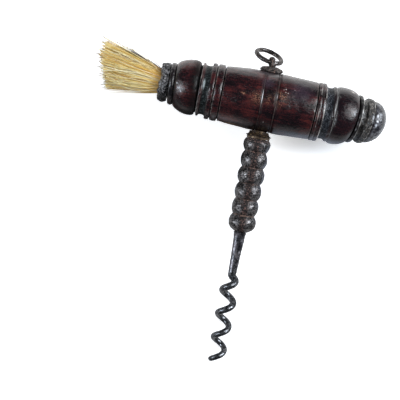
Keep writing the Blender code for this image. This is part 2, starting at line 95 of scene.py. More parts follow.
def hollowValues(outline, reach):
    # How far each point of an outline lies below its surroundings, negative on a crest
    points = numpy.array(outline)
    steps = numpy.linalg.norm(numpy.diff(points, axis=0), axis=1)
    walked = numpy.concatenate(([0], steps.cumsum()))
    around = [numpy.interp(walked + reach * side, walked, points[:, 1]) for side in (-1, -0.5, 0.5, 1)]
    return list(sum(around) / 4 - points[:, 1])


def spinOutline(outline, along, steps, **layers):
    # outline holds (station, radius) and turns round the X or the Y axis. Each layer gives one
    # number for each of its points, for the finishes to read.
    shape = bmesh.new()
    layers.setdefault("hollow", [0] * len(outline))
    held = {name: shape.verts.layers.float.new(name) for name in layers}
    chain = []
    for number, (station, radius) in enumerate(outline):
        vert = shape.verts.new((station, 0, radius) if along == "X" else (0, station, radius))
        for name, layer in held.items():
            vert[layer] = layers[name][number]
        chain.append(vert)
    edges = [shape.edges.new(pair) for pair in zip(chain, chain[1:])]
    spinFull(shape, chain + edges, (1, 0, 0) if along == "X" else (0, 1, 0), steps)
    return shape


def spinFull(shape, parts, axis, steps):
    bmesh.ops.spin(shape, geom=parts, axis=axis, cent=(0, 0, 0), steps=steps, angle=2 * math.pi,
                   use_merge=True)
    bmesh.ops.remove_doubles(shape, verts=shape.verts, dist=0.000002)


def roughen(shape, waves, along=None, only=None):
    # Moves each vertex in or out by smooth noise, for each of the waves' (size, depth, seed)
    for size, depth, seed in waves:
        shift = Vector((seed * 3.1, seed * 7.7, seed * 1.3))
        shape.normal_update()
        for vert in shape.verts:
            share = only(vert.co) if only else 1
            if not share:
                continue
            outward = vert.normal.copy()
            if along is not None:  # straight away from that axis
                outward = vert.co.copy()
                outward[along] = 0
                if outward.length < 0.0002:
                    continue
                outward.normalize()
            vert.co += outward * depth * share * noise.noise(vert.co / size + shift)


def smoothFaces(mesh, crease):
    mesh.shade_smooth()
    mesh.set_sharp_from_angle(angle=math.radians(crease))


def newPiece(name, shape, place=toolPlace, crease=40):
    bmesh.ops.transform(shape, matrix=place, verts=shape.verts)
    bmesh.ops.recalc_face_normals(shape, faces=shape.faces)
    if shape.calc_volume(signed=True) < 0:
        bmesh.ops.reverse_faces(shape, faces=shape.faces)
    mesh = bpy.data.meshes.new(name)
    shape.to_mesh(mesh)
    shape.free()
    smoothFaces(mesh, crease)
    return putInScene(name, mesh)


def putInScene(name, data):
    made = bpy.data.objects.new(name, data)
    bpy.context.scene.collection.objects.link(made)
    return made


def cutAway(piece, cutter):
    step = piece.modifiers.new("cut", "BOOLEAN")
    step.operation = "DIFFERENCE"
    step.solver = "EXACT"
    step.object = cutter
    graph = bpy.context.evaluated_depsgraph_get()
    cut = bpy.data.meshes.new_from_object(piece.evaluated_get(graph))
    piece.modifiers.clear()
    piece.data = cut
    bpy.data.objects.remove(cutter)


def dress(piece, body, node, material):
    piece.data.materials.clear()
    piece.data.materials.append(material)
    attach(piece, body)
    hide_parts(node)
    print("made", piece.name, "with", len(piece.data.polygons), "faces")


# Helpers for the finishes

def fill(node, **settings):
    # Each setting is a property of the node, or a socket by its name or by its number as n0, n1
    # and so on, which gets a value or a link
    for name, value in settings.items():
        if hasattr(node, name):
            setattr(node, name, value)
            continue
        target = node.inputs[int(name[1:]) if name[1:].isdigit() else name.replace("_", " ")]
        if isinstance(value, bpy.types.NodeSocket):
            node.id_data.links.new(value, target)
        else:
            target.default_value = value


def addNode(tree, kind, **settings):
    # tree may also be a socket in it
    node = tree.id_data.nodes.new("ShaderNode" + kind)
    fill(node, **settings)
    return node


def newFinish(name, **settings):
    finish = bpy.data.materials.new(name)
    finish.use_nodes = True
    shader = finish.node_tree.nodes["Principled BSDF"]
    fill(shader, **settings)
    return finish, finish.node_tree, shader


def toolCoordinates(tree):
    # Object coordinates brought to the corkscrew's own directions
    place = addNode(tree, "TexCoord").outputs["Object"]
    return addNode(tree, "Mapping", vector_type="TEXTURE", n0=place, n1=crossing,
                   n2=(lie["pitch"], 0, 0)).outputs[0]


def stretched(where, scale, turn=(0, 0, 0)):
    return addNode(where, "Mapping", n0=where, n2=turn, n3=scale).outputs[0]


def attribute(tree, name):
    return addNode(tree, "Attribute", attribute_name=name).outputs["Fac"]


def noiseValue(where, scale, detail=4, roughness=0.55, distortion=0):
    # scale is one number, or one for each direction
    if isinstance(scale, tuple):
        where, scale = stretched(where, scale), 1
    return addNode(where, "TexNoise", Vector=where, Scale=scale, Detail=detail, Roughness=roughness,
                   Distortion=distortion).outputs["Fac"]


def calculate(operation, first, second=0.5, third=0.5):
    return addNode(first, "Math", operation=operation, n0=first, n1=second, n2=third).outputs[0]


def times(*values):
    return reduce(partial(calculate, "MULTIPLY"), values)


def largest(*values):
    return reduce(partial(calculate, "MAXIMUM"), values)


def weighed(start, *parts):
    # start and every (value, weight), added up
    return reduce(lambda total, part: calculate("MULTIPLY_ADD", *part, total), parts, start)


def ramp(value, stops, scale=1, offset=0, smooth=False):
    # Reads scale * value + offset. stops are (place, colour), and a colour may be one number for grey.
    if (scale, offset) != (1, 0):
        value = calculate("MULTIPLY_ADD", value, scale, offset)
    node = addNode(value, "ValToRGB", n0=value)
    node.color_ramp.interpolation = "EASE" if smooth else "LINEAR"
    marks = node.color_ramp.elements
    while len(marks) < len(stops):
        marks.new(0.5)
    for mark, (place, colour) in zip(marks, stops):
        mark.position = place
        mark.color = (*colour, 1) if isinstance(colour, tuple) else (colour, colour, colour, 1)
    return node.outputs["Color"]


def slope(value, start, end, low=0, high=1, scale=1, offset=0, smooth=False):
    return ramp(value, ((start, low), (end, high)), scale, offset, smooth)


def band(station, ends, scale):
    # 1 between the second and the third end, falling to 0 at the first and the last
    return ramp(station, tuple(zip(ends, (0, 1, 1, 0))), scale)


def nearStation(station, place, ends, scale=1000):
    # 1 up to the first end away from place, falling to 0 at the second, both times scale
    away = calculate("ABSOLUTE", calculate("SUBTRACT", station, place))
    return ramp(away, tuple(zip(ends, (1, 0))), scale)


def spots(where, *places):
    # 1 at each place's centre, falling to 0 at its size away, which may differ along each direction
    found = []
    for centre, size in places:
        shrunk = addNode(where, "Mapping", vector_type="TEXTURE", n0=where, n1=centre, n3=size)
        length = addNode(where, "VectorMath", operation="LENGTH", n0=shrunk.outputs[0])
        found.append(slope(length.outputs["Value"], 0, 1, 1, 0, smooth=True))
    return largest(*found)


def layOver(below, colour, *shares, blend="MIX"):
    # Lays a colour over what is below it, by the product of the shares
    if isinstance(colour, tuple):
        colour = (*colour, 1)
    return addNode(below, "Mix", data_type="RGBA", blend_type=blend, n0=times(*shares),
                   n6=below, n7=colour).outputs[2]


def raiseSurface(shader, *layers):
    # Bumps one on another, each (height, distance, strength)
    normal = None
    for height, distance, strength in layers:
        bump = addNode(height, "Bump", Strength=strength, Distance=distance, Height=height)
        if normal is not None:
            fill(bump, Normal=normal)
        normal = bump.outputs["Normal"]
    fill(shader, Normal=normal, Coat_Normal=normal)


# The rosewood's wear, with the highlights, sheens and shade painted into its colour. A place is
# (centre, size), a line is (station, strength), and the stations of coves are in tenths of a
# metre, positive towards the knob.
wearAndPaintedLight = {
    "rubbed": (  # speckled patches beside the scribed lines
        ((-0.005, 0.0004, 0.0137), (0.0052, 0.0046, 0.007)),
        ((0.0058, 0.0022, 0.0137), (0.0056, 0.0058, 0.007)),
        ((0.001, 0.0006, 0.014), (0.0024, 0.004, 0.007)),
        ((-0.0112, 0.0016, 0.0137), (0.003, 0.0012, 0.007)),
    ),
    "dotted": (
        ((0.0096, 0.0062, 0.013), (0.0042, 0.0032, 0.007)),
        ((0.0004, -0.0098, 0.01), (0.001, 0.0012, 0.003)),
    ),
    "paintedHighlightLine": ((-0.0025, 0.0014, 0.0143), (0.0008, 0.0044, 0.003)),
    "fainterPaintedHighlightLine": ((0.0043, 0.0026, 0.0143), (0.0007, 0.0018, 0.003)),
    "coves": (  # direction, ends, share and dust, by the knob and by the brush
        (10, (0.271, 0.276, 0.305, 0.309), 0.8,
         ((0.42, (0.005, 0.006, 0.008)), (0.52, (0.026, 0.03, 0.038)), (0.6, (0.13, 0.14, 0.16)))),
        (-10, (0.274, 0.28, 0.303, 0.308), 0.75,
         ((0.42, (0.003, 0.005, 0.0055)), (0.54, (0.014, 0.02, 0.022)), (0.62, (0.09, 0.11, 0.11)))),
    ),
    "patches": (  # places, the noise that breaks them up and how, and the colour
        ((((-0.0302, 0.0024, 0.0118), (0.0007, 0.0034, 0.003)),),  # a painted highlight in the cove
         "fine", (0.4, 0.55, 0.5, 1), (0.52, 0.62, 0.64)),
        ((((0.0034, 0.0134, 0.005), (0.0024, 0.0022, 0.006)),),  # scuffs at the washer
         "coarse", (0.42, 0.54, 0.1, 0.9), (0.36, 0.34, 0.33)),
        ((((-0.0135, -0.0136, 0.002), (0.008, 0.0014, 0.005)),),  # bared wood on the lower edge
         "coarse", (0.4, 0.52, 0.2, 1), (0.22, 0.105, 0.045)),
        ((((0.015, 0.007, 0.011), (0.0085, 0.0075, 0.011)),  # a violet sheen, painted
          ((-0.001, 0.0085, 0.011), (0.0045, 0.004, 0.011))),
         "fine", (0.42, 0.58, 0.25, 0.75), (0.075, 0.05, 0.072)),
        ((((-0.004, 0.0132, 0.0055), (0.023, 0.0022, 0.007)),),  # a grey sheen painted along the upper edge
         "coarse", (0.36, 0.58, 0.15, 0.75), (0.125, 0.11, 0.118)),
        ((((0.0392, 0.0114, 0.0056), (0.0016, 0.0012, 0.002)),),  # a chip on the knob's bead
         "fine", (0.4, 0.55, 0.3, 1.6), (0.8, 0.74, 0.66)),
    ),
    "darkerByCollar": ((0.001, -0.012, 0.008), (0.0085, 0.0075, 0.011)),  # darker over and round the collar
    "wornAndHighlightedRims": ((0.0436, 0.8), (0.0468, 0.22), (0.0493, 1.0), (0.0271, 0.75), (0.0246, 0.35),
             (-0.032, 0.45), (-0.0249, 0.35)),  # pale and broken: worn edges that also carry painted highlights
    "steadyLine": 0.0322,
    # painted glints, four on the knob's dome and two on the left bead
    "paintedGlints": (
        ((0.0505, 0.0014, 0.0096), (0.0006, 0.0034, 0.004)),
        ((0.0526, 0.003, 0.0092), (0.0006, 0.0011, 0.004)),
        ((0.0528, 0.0005, 0.0094), (0.0008, 0.0008, 0.004)),
        ((0.0525, -0.0015, 0.0094), (0.0007, 0.0013, 0.004)),
        ((-0.0404, -0.0032, 0.0113), (0.0007, 0.0006, 0.004)),
        ((-0.0427, 0.0004, 0.0105), (0.0006, 0.0005, 0.004)),
    ),
    "dullLines": ((0.0043, -0.66), (-0.0025, -0.72)),  # the scribed lines hold dull dirt
}


def makeRosewood():
    finish, tree, shader = newFinish("rosewoodFinish", Coat_Weight=0.9, Coat_Roughness=0.12,
                                     Coat_IOR=1.65, Specular_IOR_Level=0.12)
    tool = toolCoordinates(tree)
    station = attribute(tree, "station")
    fine = noiseValue(tool, 1500, 3, 0.7)
    coarse = noiseValue(tool, (300, 420, 420), 4, 0.65, 0.8)
    chips = noiseValue(tool, (900, 240, 240), 5, 0.7, 0.5)
    crust = noiseValue(tool, (520, 460, 460), 6, 0.78, 0.6)

    # Dark and red streaks along the handle, a little redder towards the brush
    streaks = noiseValue(tool, (190, 900, 900), 6, 0.66, 0.8)
    broad = noiseValue(tool, (85, 150, 150), 3)
    redder = slope(station, 0.2, 0.42, 0.016, 0, 20, 0.5)
    grain = weighed(redder, (streaks, 0.34), (broad, 0.36), (fine, 0.3))
    wood = ramp(grain, (
        (0.41, (0.0016, 0.0011, 0.0018)), (0.48, (0.009, 0.0032, 0.005)),
        (0.53, (0.034, 0.007, 0.0086)), (0.59, (0.074, 0.0132, 0.0128)),
        (0.67, (0.15, 0.035, 0.025)),
    ))

    # Worn patches where the fingers rub, and pale dots
    speckle = noiseValue(tool, 1900, 3, 0.85)
    worn = times(spots(tool, *wearAndPaintedLight["rubbed"]), slope(coarse, 0.38, 0.56),
                 slope(speckle, 0.515, 0.575, 0.02, 1))
    wood = layOver(wood, (0.45, 0.215, 0.13), worn, 0.85)
    dots = addNode(tree, "TexVoronoi", Vector=tool, Scale=700)
    chance = addNode(tree, "TexWhiteNoise", n0=dots.outputs["Position"]).outputs["Value"]
    wood = layOver(wood, (0.75, 0.66, 0.62), slope(dots.outputs["Distance"], 0.12, 0.28, 1, 0),
                   calculate("GREATER_THAN", chance, 0.3), slope(spots(tool, *wearAndPaintedLight["dotted"]), 0.15, 0.4))

    # Painted shade in the valleys, black grooves of dirt and painted shade, and pale, broken edges
    # on the crests
    grooveDirtAndShade = slope(attribute(tree, "hollow"), 0.05, 0.55, 0, 0.95, 1500)
    wood = layOver(wood, (0.0038, 0.0046, 0.0054), slope(attribute(tree, "valley"), 0.02, 0.8, 0, 0.9, 1500))
    # Black grooves: dirt and painted shade
    wood = layOver(wood, (0.0035, 0.0032, 0.0036), grooveDirtAndShade)
    crest = slope(attribute(tree, "edge"), 0.3, 0.75, scale=-9000)
    offBarrel = slope(calculate("ABSOLUTE", station), 0.4, 0.75, 0.35, 0.8, 20)
    wood = layOver(wood, (0.2, 0.165, 0.15), crest, slope(chips, 0.42, 0.6, 0.05, 1), offBarrel)
    # Painted highlights along the two scribed lines, the second fainter
    lines = weighed(spots(tool, wearAndPaintedLight["paintedHighlightLine"]), (spots(tool, wearAndPaintedLight["fainterPaintedHighlightLine"]), 0.4))
    wood = layOver(wood, (0.8, 0.8, 0.84), lines, crest, 0.9)

    # Darker towards the knob, dusty in the coves and dull on the shoulder by the brush
    wood = layOver(wood, (0.007, 0.004, 0.0068), slope(station, 0.27, 0.315, 0, 0.62, 10))
    coves = []
    for direction, ends, share, dust in wearAndPaintedLight["coves"]:
        coves.append(band(station, ends, direction))
        wood = layOver(wood, ramp(fine, dust), coves[-1], share)
    shoulder = band(station, (0.316, 0.328, 0.346, 0.374), -10)
    wood = layOver(wood, (0.006, 0.0066, 0.0062), shoulder, 0.75)
    for places, kind, ends, colour in wearAndPaintedLight["patches"]:
        broken = slope(fine if kind == "fine" else coarse, *ends)
        wood = layOver(wood, colour, spots(tool, *places), broken)
    # Darker round the collar
    wood = layOver(wood, (0.0035, 0.003, 0.0036), spots(tool, wearAndPaintedLight["darkerByCollar"]), 0.9)

    # The knob's end is crusted and chipped, and its dome dark with pale lines round its facets
    button = ramp(station, ((0.416, 0), (0.422, 1), (0.437, 1), (0.441, 0.5), (0.464, 0.8)), 10)
    wood = layOver(wood, (0.012, 0.0105, 0.011), button, 0.9)
    crusted = ramp(station, ((0.436, 0), (0.446, 0.45), (0.463, 0.45), (0.466, 1), (0.494, 1),
                             (0.5, 0)), 10)
    flecks = ramp(crust, ((0.43, (0.004, 0.0035, 0.0035)), (0.51, (0.022, 0.019, 0.017)),
                          (0.57, (0.085, 0.073, 0.063)), (0.63, (0.46, 0.42, 0.38))))
    wood = layOver(wood, flecks, crusted, 0.9)
    dome = slope(station, 0.498, 0.506, scale=10)
    domeTone = ramp(crust, ((0.4, (0.008, 0.008, 0.011)), (0.5, (0.034, 0.035, 0.044)),
                            (0.62, (0.19, 0.195, 0.22))))
    wood = layOver(wood, domeTone, dome, 0.85)
    cells = addNode(tree, "TexVoronoi", feature="DISTANCE_TO_EDGE", Scale=1,
                    Vector=stretched(tool, (230, 360, 360), (0.3, 0.5, 0.2))).outputs["Distance"]
    wood = layOver(wood, (0.26, 0.25, 0.26), dome, slope(cells, 0.02, 0.08, 1, 0),
                   slope(crust, 0.48, 0.56), 0.4)

    # Pale rims, worn and with painted highlights, painted glints on the dome and the left bead, and
    # the darkened end that holds the brush
    breaks = slope(noiseValue(tool, 240, 3), 0.42, 0.56, 0.12, 1)
    for place, share in wearAndPaintedLight["wornAndHighlightedRims"]:
        wood = layOver(wood, (0.74, 0.7, 0.66), nearStation(station, place, (0.12, 0.32)),
                       slope(chips, 0.4, 0.52, 0, share), breaks)
    wood = layOver(wood, (0.36, 0.35, 0.34), nearStation(station, wearAndPaintedLight["steadyLine"], (0.1, 0.28)),
                   slope(chips, 0.36, 0.5, 0.2, 0.85))
    # Painted glints, bluish white
    paintedGlints = times(spots(tool, *wearAndPaintedLight["paintedGlints"]), slope(layOver(fine, crust, 0.5), 0.44, 0.53, 0.2, 1.5))
    wood = layOver(wood, (0.82, 0.86, 0.93), calculate("MINIMUM", paintedGlints, 0.95))
    wood = layOver(wood, (0.008, 0.0075, 0.009), slope(station, 0.438, 0.45, scale=-10), 0.85)

    # Polish, dull where it is worn, dirty or dusty
    polish = slope(noiseValue(tool, 520, 5, 0.7), 0.32, 0.7, 0.24, 0.42)
    dusty = largest(*coves)
    rough = largest(weighed(polish, (dome, -0.08)), times(worn, 0.6), times(grooveDirtAndShade, 0.6),
                    times(crusted, 0.5), times(dusty, 0.5))
    coat = weighed(0.9, (shoulder, -0.8), (dusty, -0.72))
    for place, dulled in wearAndPaintedLight["dullLines"]:
        coat = weighed(coat, (nearStation(station, place, (0.56, 0.68), 500), dulled))
    fill(shader, Base_Color=wood, Roughness=rough, Coat_Weight=calculate("MAXIMUM", coat, 0.05))
    pores = slope(noiseValue(tool, (420, 4200, 4200), 3, 0.6), 0.3, 0.45)
    dents = noiseValue(tool, 420, 6, 0.68)
    raiseSurface(shader, (pores, 0.00005, 0.45), (dents, 0.0003, 0.6), (chips, 0.00012, 0.35),
                 (times(dome, cells), 0.0016, 0.3), (times(crust, crusted), 0.0008, 0.9))
    return finish


def makeIron(name, steel, dark, rust, rustReach, roughness, pitScale=900, pitDepth=0.00016,
             crusted=False, stemEnd=None):
    # Forged iron: pitted, mottled, with rust in its hollows and in patches
    finish, tree, shader = newFinish(name)
    tool = toolCoordinates(tree)
    x, y, z = addNode(tree, "SeparateXYZ", n0=tool).outputs
    mottle = noiseValue(tool, pitScale * 0.55, 6, 0.65, 0.4)
    grain = noiseValue(tool, 1450, 3, 0.8)
    tones = weighed(0, (mottle, 0.35), (grain, 0.65))
    between = tuple((low * 2 + high) / 3 for low, high in zip(dark, steel))
    metal = ramp(tones, ((0.43, dark), (0.495, between), (0.56, steel)))
    if stemEnd is not None:  # above it the iron is duller and a little violet, with a dark strip of painted shade
        stem = slope(y, 0.5, 0.8, scale=100, offset=0.5 - stemEnd * 100)
        drawn = noiseValue(tool, (900, 260, 900), 4, 0.7)
        violet = ramp(drawn, ((0.42, (0.03, 0.027, 0.034)), (0.56, (0.42, 0.38, 0.42))))
        metal = layOver(metal, violet, stem, 0.55)
        # a dark strip of painted shade down the stem's right half
        shadeStrip = ramp(x, ((0.5, 0), (0.58, 1), (0.76, 1), (0.86, 0.3)), 200, 0.42)
        metal = layOver(metal, (0.008, 0.008, 0.011), shadeStrip, slope(mottle, 0.46, 0.56, 0.9, 0.2), stem)

    hollow = attribute(tree, "hollow")
    bloom = noiseValue(tool, 330, 5, 0.68, 0.8)
    rusted = calculate("ADD", slope(hollow, 0.1, 0.9, 0, 0.75, 1100),
                       slope(bloom, rustReach, rustReach + 0.14))
    if crusted:  # brown rust with painted shade runs down the middle of the upper side, and rust round the collar
        # the middle is rust and painted shade, where the iron would mirror the dark above
        across = calculate("ABSOLUTE", weighed(-0.003, (bloom, 0.006), (x, 1)))
        rustAndShadeColumn = times(slope(across, 0.18, 0.55, 1, 0, 200), calculate("GREATER_THAN", z, 0))
        byCollar = slope(y, 0.34, 0.56, scale=100, offset=2.4)
        rusted = calculate("ADD", rusted, largest(rustAndShadeColumn, byCollar))
    rusted = times(calculate("MINIMUM", rusted, 1), slope(tones, 0.42, 0.52, 0.35, 1))
    rusted = calculate("MINIMUM", rusted, 0.92)
    rustTone = ramp(grain, tuple(
        (place, tuple(part * share for part in rust))
        for place, share in ((0.45, 0.05), (0.52, 0.22), (0.57, 0.8), (0.63, 4.6))))
    body = layOver(metal, rustTone, rusted)
    if crusted:  # pale rust caught in the necks, most of all in the lowest
        body = layOver(body, (0.24, 0.165, 0.13), slope(hollow, 0.5, 0.64, scale=1100),
                       slope(y, 0.46, 0.52, 1, 0.35, 100, 6), slope(mottle, 0.42, 0.52, 0.2, 1))

    rough = weighed(roughness + 0.11, (mottle, -0.22), (rusted, 0.26))
    if stemEnd is not None:
        rough = weighed(rough, (stem, 0.13))
    fill(shader, Base_Color=body, Roughness=rough, Metallic=slope(rusted, 0, 0.7, 0.92, 0.08),
         Specular_IOR_Level=slope(rusted, 0, 0.7, 0.5, 0.16))
    pits = addNode(tree, "TexVoronoi", feature="SMOOTH_F1", Vector=tool, Scale=pitScale)
    pitted = slope(pits.outputs["Distance"], 0.05, 0.5)
    raiseSurface(shader, (pitted, pitDepth, 0.45), (mottle, pitDepth * 1.1, 0.6),
                 (grain, pitDepth * 0.9, 0.9))
    return finish


def makeBrass():
    finish, tree, shader = newFinish("tarnishedBrassFinish")
    tool = toolCoordinates(tree)
    mottle = noiseValue(tool, 900, 6, 0.7, 0.5)
    grain = noiseValue(tool, 1700, 4, 0.75)
    metal = ramp(weighed(0, (mottle, 0.6), (grain, 0.4)), (
        (0.42, (0.01, 0.006, 0.005)), (0.49, (0.036, 0.022, 0.015)),
        (0.55, (0.13, 0.084, 0.047)), (0.62, (0.4, 0.28, 0.16)),
    ))
    height = addNode(tree, "SeparateXYZ", n0=tool).outputs[1]
    metal = layOver(metal, (0.3, 0.215, 0.14),
                    slope(height, 0.235, 0.3, 1, 0, 100, 2),  # its foot is paler
                    slope(mottle, 0.44, 0.54, 0.2, 0.8))
    dirt = slope(attribute(tree, "hollow"), 0.02, 0.6, 0, 0.8, 1500)
    fill(shader, Base_Color=layOver(metal, (0.018, 0.011, 0.01), dirt),
         Metallic=slope(mottle, 0.36, 0.62, 0.25, 0.85), Roughness=slope(mottle, 0.36, 0.66, 0.72, 0.4))
    raiseSurface(shader, (mottle, 0.00025, 0.7), (noiseValue(tool, 2600, 3), 0.0001, 0.6))
    return finish


def makePitch():
    finish, tree, shader = newFinish("pitchFinish", Specular_IOR_Level=0.6)
    tool = toolCoordinates(tree)
    mottle = noiseValue(tool, 1100, 5, 0.65, 0.5)
    black = ramp(mottle, ((0.42, (0.005, 0.005, 0.0055)), (0.5, (0.04, 0.04, 0.042)),
                          (0.6, (0.27, 0.26, 0.27))))
    height = addNode(tree, "SeparateXYZ", n0=tool).outputs[1]
    lower = slope(height, 0.08, 0.26, 0.75, 0, 60, 0.5)
    fill(shader, Base_Color=layOver(black, (0.004, 0.004, 0.005), lower),
         Roughness=slope(mottle, 0.35, 0.65, 0.1, 0.28))
    raiseSurface(shader, (noiseValue(tool, 520, 3, 0.55, 0.6), 0.0005, 0.6), (mottle, 0.0002, 0.6))
    return finish


def makeBristle():
    # "reach" runs from 0.3 in the bore to 1 at the tips that stand out, and "tone" differs from
    # strand to strand
    finish, tree, shader = newFinish("bristleFinish", Roughness=0.42, Specular_IOR_Level=0.35)
    tool = toolCoordinates(tree)
    tone = attribute(tree, "tone")
    reach = attribute(tree, "reach")
    straw = ramp(tone, (
        (0.0, (0.38, 0.2, 0.06)), (0.2, (0.97, 0.62, 0.19)), (0.5, (1.0, 0.77, 0.26)),
        (0.8, (1.0, 0.87, 0.4)), (1.0, (1.0, 0.95, 0.72)),
    ))
    # darker towards the roots in the bore: painted shade
    root = ramp(reach, ((0.3, (0.75, 0.58, 0.4)), (0.42, (0.96, 0.9, 0.8)), (0.6, 1)))
    straw = layOver(straw, root, 1, blend="MULTIPLY")
    mottle = noiseValue(tool, (180, 900, 900), 3)
    straw = layOver(straw, (0.62, 0.41, 0.13), slope(mottle, 0.5, 0.66, 0, 0.3))
    # brown flecks and pale flecks of painted highlight on the outer half, grey tips and dark hairs
    outer = slope(reach, 0.52, 0.72, 0.15, 1)
    fleck = noiseValue(tool, (620, 1700, 1700), 3, 0.7)
    for colour, *shares in (
            ((0.58, 0.35, 0.1), outer, slope(fleck, 0.36, 0.45, 0.65, 0)),
            ((1.0, 0.93, 0.58), outer, slope(fleck, 0.54, 0.64, 0, 0.8)),
            ((0.2, 0.17, 0.18), slope(reach, 0.93, 0.98), 0.8),
            ((0.06, 0.036, 0.026), calculate("LESS_THAN", tone, -0.5))):
        straw = layOver(straw, colour, *shares)
    fill(shader, Base_Color=straw)
    return finish


def makeThread():
    finish, tree, shader = newFinish("waxedThreadFinish")
    twist = stretched(toolCoordinates(tree), (1, 1, 1), (0.5, 0, 0))
    wave = addNode(tree, "TexWave", Vector=twist, Scale=900, Distortion=1.5, Detail=2).outputs["Fac"]
    fill(shader, Roughness=slope(wave, 0, 1, 0.85, 0.6),
         Base_Color=ramp(wave, ((0.2, (0.075, 0.045, 0.022)), (0.8, (0.26, 0.17, 0.095)))))
    raiseSurface(shader, (wave, 0.0001, 0.6))
    return finish


finishes = {
    "wood": makeRosewood(),
    "iron": makeIron("forgedIronFinish", steel=(0.33, 0.315, 0.315), dark=(0.013, 0.012, 0.013),
                     rust=(0.062, 0.034, 0.028), rustReach=0.56, roughness=0.31, crusted=True),
    "worm": makeIron("wormWireFinish", steel=(0.37, 0.385, 0.41), dark=(0.024, 0.025, 0.029),
                     rust=(0.06, 0.04, 0.036), rustReach=0.58, roughness=0.25,
                     pitScale=1100, pitDepth=0.00008, stemEnd=-0.084),
    "ring": makeIron("ringWireFinish", steel=(0.27, 0.25, 0.24), dark=(0.011, 0.009, 0.009),
                     rust=(0.045, 0.028, 0.024), rustReach=0.49, roughness=0.17,
                     pitScale=800, pitDepth=0.00009),
    "washer": makeIron("rustedIronFinish", steel=(0.2, 0.18, 0.17), dark=(0.024, 0.02, 0.019),
                       rust=(0.085, 0.055, 0.046), rustReach=0.42, roughness=0.4),
    "brass": makeBrass(),
    "pitch": makePitch(),
    "bristle": makeBristle(),
    "thread": makeThread(),
}
print("finishes ready")


# The handle, one turned piece of rosewood, bored for the brush and for the shank's tang. Its waves
# are (size, depth, seed) of an unevenness, here and on the other pieces.
handle = {
    "barrel": (-0.0211, 0.0229),  # its ends
    "barrelSteps": 72,
    "radius": (0.0132, 0.01445, 0.0137),  # at the brush end, at the shank and at the knob end
    "lines": (  # fine beads turned round it, between two grooves:
        (-0.0025, 0.00028, 0.00065, 0.00024),  # place, half the bead, the groove and its depth
        (0.0043, 0.0003, 0.00095, 0.00026),
    ),
    "proud": 0.00003,  # how far such a bead stands out
    "knobMembers": (
        (0.0006, 0.0137, 0.0128, 0.0136, 6),
        (0.0019, 0.0136, 0.01395, 0.01358, 12),
        (0.0019, 0.01358, 0.01395, 0.0133, 12),
        (0.0034, 0.01285, 0.01225, 0.01275, 14),
        (0.0016, 0.01275, 0.01325, 0.0127, 10),
        (0.0094, 0.01262, 0.01368, 0.01095, 36),
        (0.0005, 0.01085, 0.0103, 0.0111, 6),
        (0.0016, 0.0111, 0.01165, 0.0112, 12),
        (0.0026, 0.0105, 0.0096, 0.00985, 16),
        (0.0031, 0.0103, 0.01092, 0.0104, 18),
        (0.0004, 0.01035, 0.00965, 0.0102, 6),
    ),
    "dome": (0.008, 0.0102, 26),  # its length, radius and steps
    "brushMembers": (
        (0.0006, 0.0132, 0.0124, 0.01335, 6),
        (0.0032, 0.01335, 0.01372, 0.01335, 16),
        (0.0006, 0.01335, 0.0126, 0.01325, 6),
        (0.0021, 0.01325, 0.0136, 0.01315, 12),
        (0.0032, 0.01245, 0.01165, 0.01235, 14),
        (0.0013, 0.01235, 0.01272, 0.0123, 10),
        (0.0008, 0.01225, 0.0113, 0.0117, 8),
        (0.0112, 0.0117, 0.01293, 0.0094, 38),
        (0.0025, 0.00925, 0.0101, 0.0093, 12),
    ),
    "lip": 0.0088,  # radius of the flat round the bore
    "bore": (0.0067, 0.0105),  # radius and depth
    "boreBevel": 0.0004,
    "tang": (0.0058, 0.0048),  # side of its hole below and above
    "tangHole": 0.034,  # its length
    "knobSkew": (0.079, 0.13),  # its button sits askew, sideways and up
    "brushSkew": 0.045,
    "skewFrom": (0.03, 0.029),  # station where each skew begins
    "skewReach": 0.011,  # over which it builds up
    "waves": ((0.009, 0.00016, 1), (0.0028, 0.00007, 2)),
    "buttonWaves": ((0.0016, 0.0003, 3),),
    "reaches": {"hollow": 0.0011, "valley": 0.0032, "edge": 0.0004},  # for hollowValues
    "buttonFrom": 0.043,
    "bites": (0.0016, 0.22, 0.00075),  # size of the crests' chips, how rare and how deep they are
    "steps": 128,
}


def barrelRadius(station):
    brushEnd, middle, knobEnd = handle["radius"]
    end, reach = (knobEnd, handle["barrel"][1]) if station > 0 else (brushEnd, -handle["barrel"][0])
    return middle + (end - middle) * (abs(station) / reach) ** 2


def barrelOutline():
    low, high = handle["barrel"]
    steps = handle["barrelSteps"]
    stations = [low + (high - low) * step / steps for step in range(1, steps)]
    for place, half, groove, depth in handle["lines"]:
        stations = [station for station in stations if abs(station - place) > half + groove]
        for side in (-1, 1):
            stations += [place + side * half * share for share in (0.3, 0.6, 0.82, 0.95, 1)]
            stations += [place + side * (half + groove * share) for share in (0.2, 0.6, 1)]
        stations.append(place)
    outline = []
    for station in sorted(stations):
        radius = barrelRadius(station)
        for place, half, groove, depth in handle["lines"]:
            away = abs(station - place)
            if away <= half:
                radius += (depth + handle["proud"]) * math.sqrt(max(1 - (away / half) ** 2, 0)) - depth
            elif away < half + groove:
                radius -= depth * (1 - (away - half) / groove)
        outline.append((station, radius))
    return outline


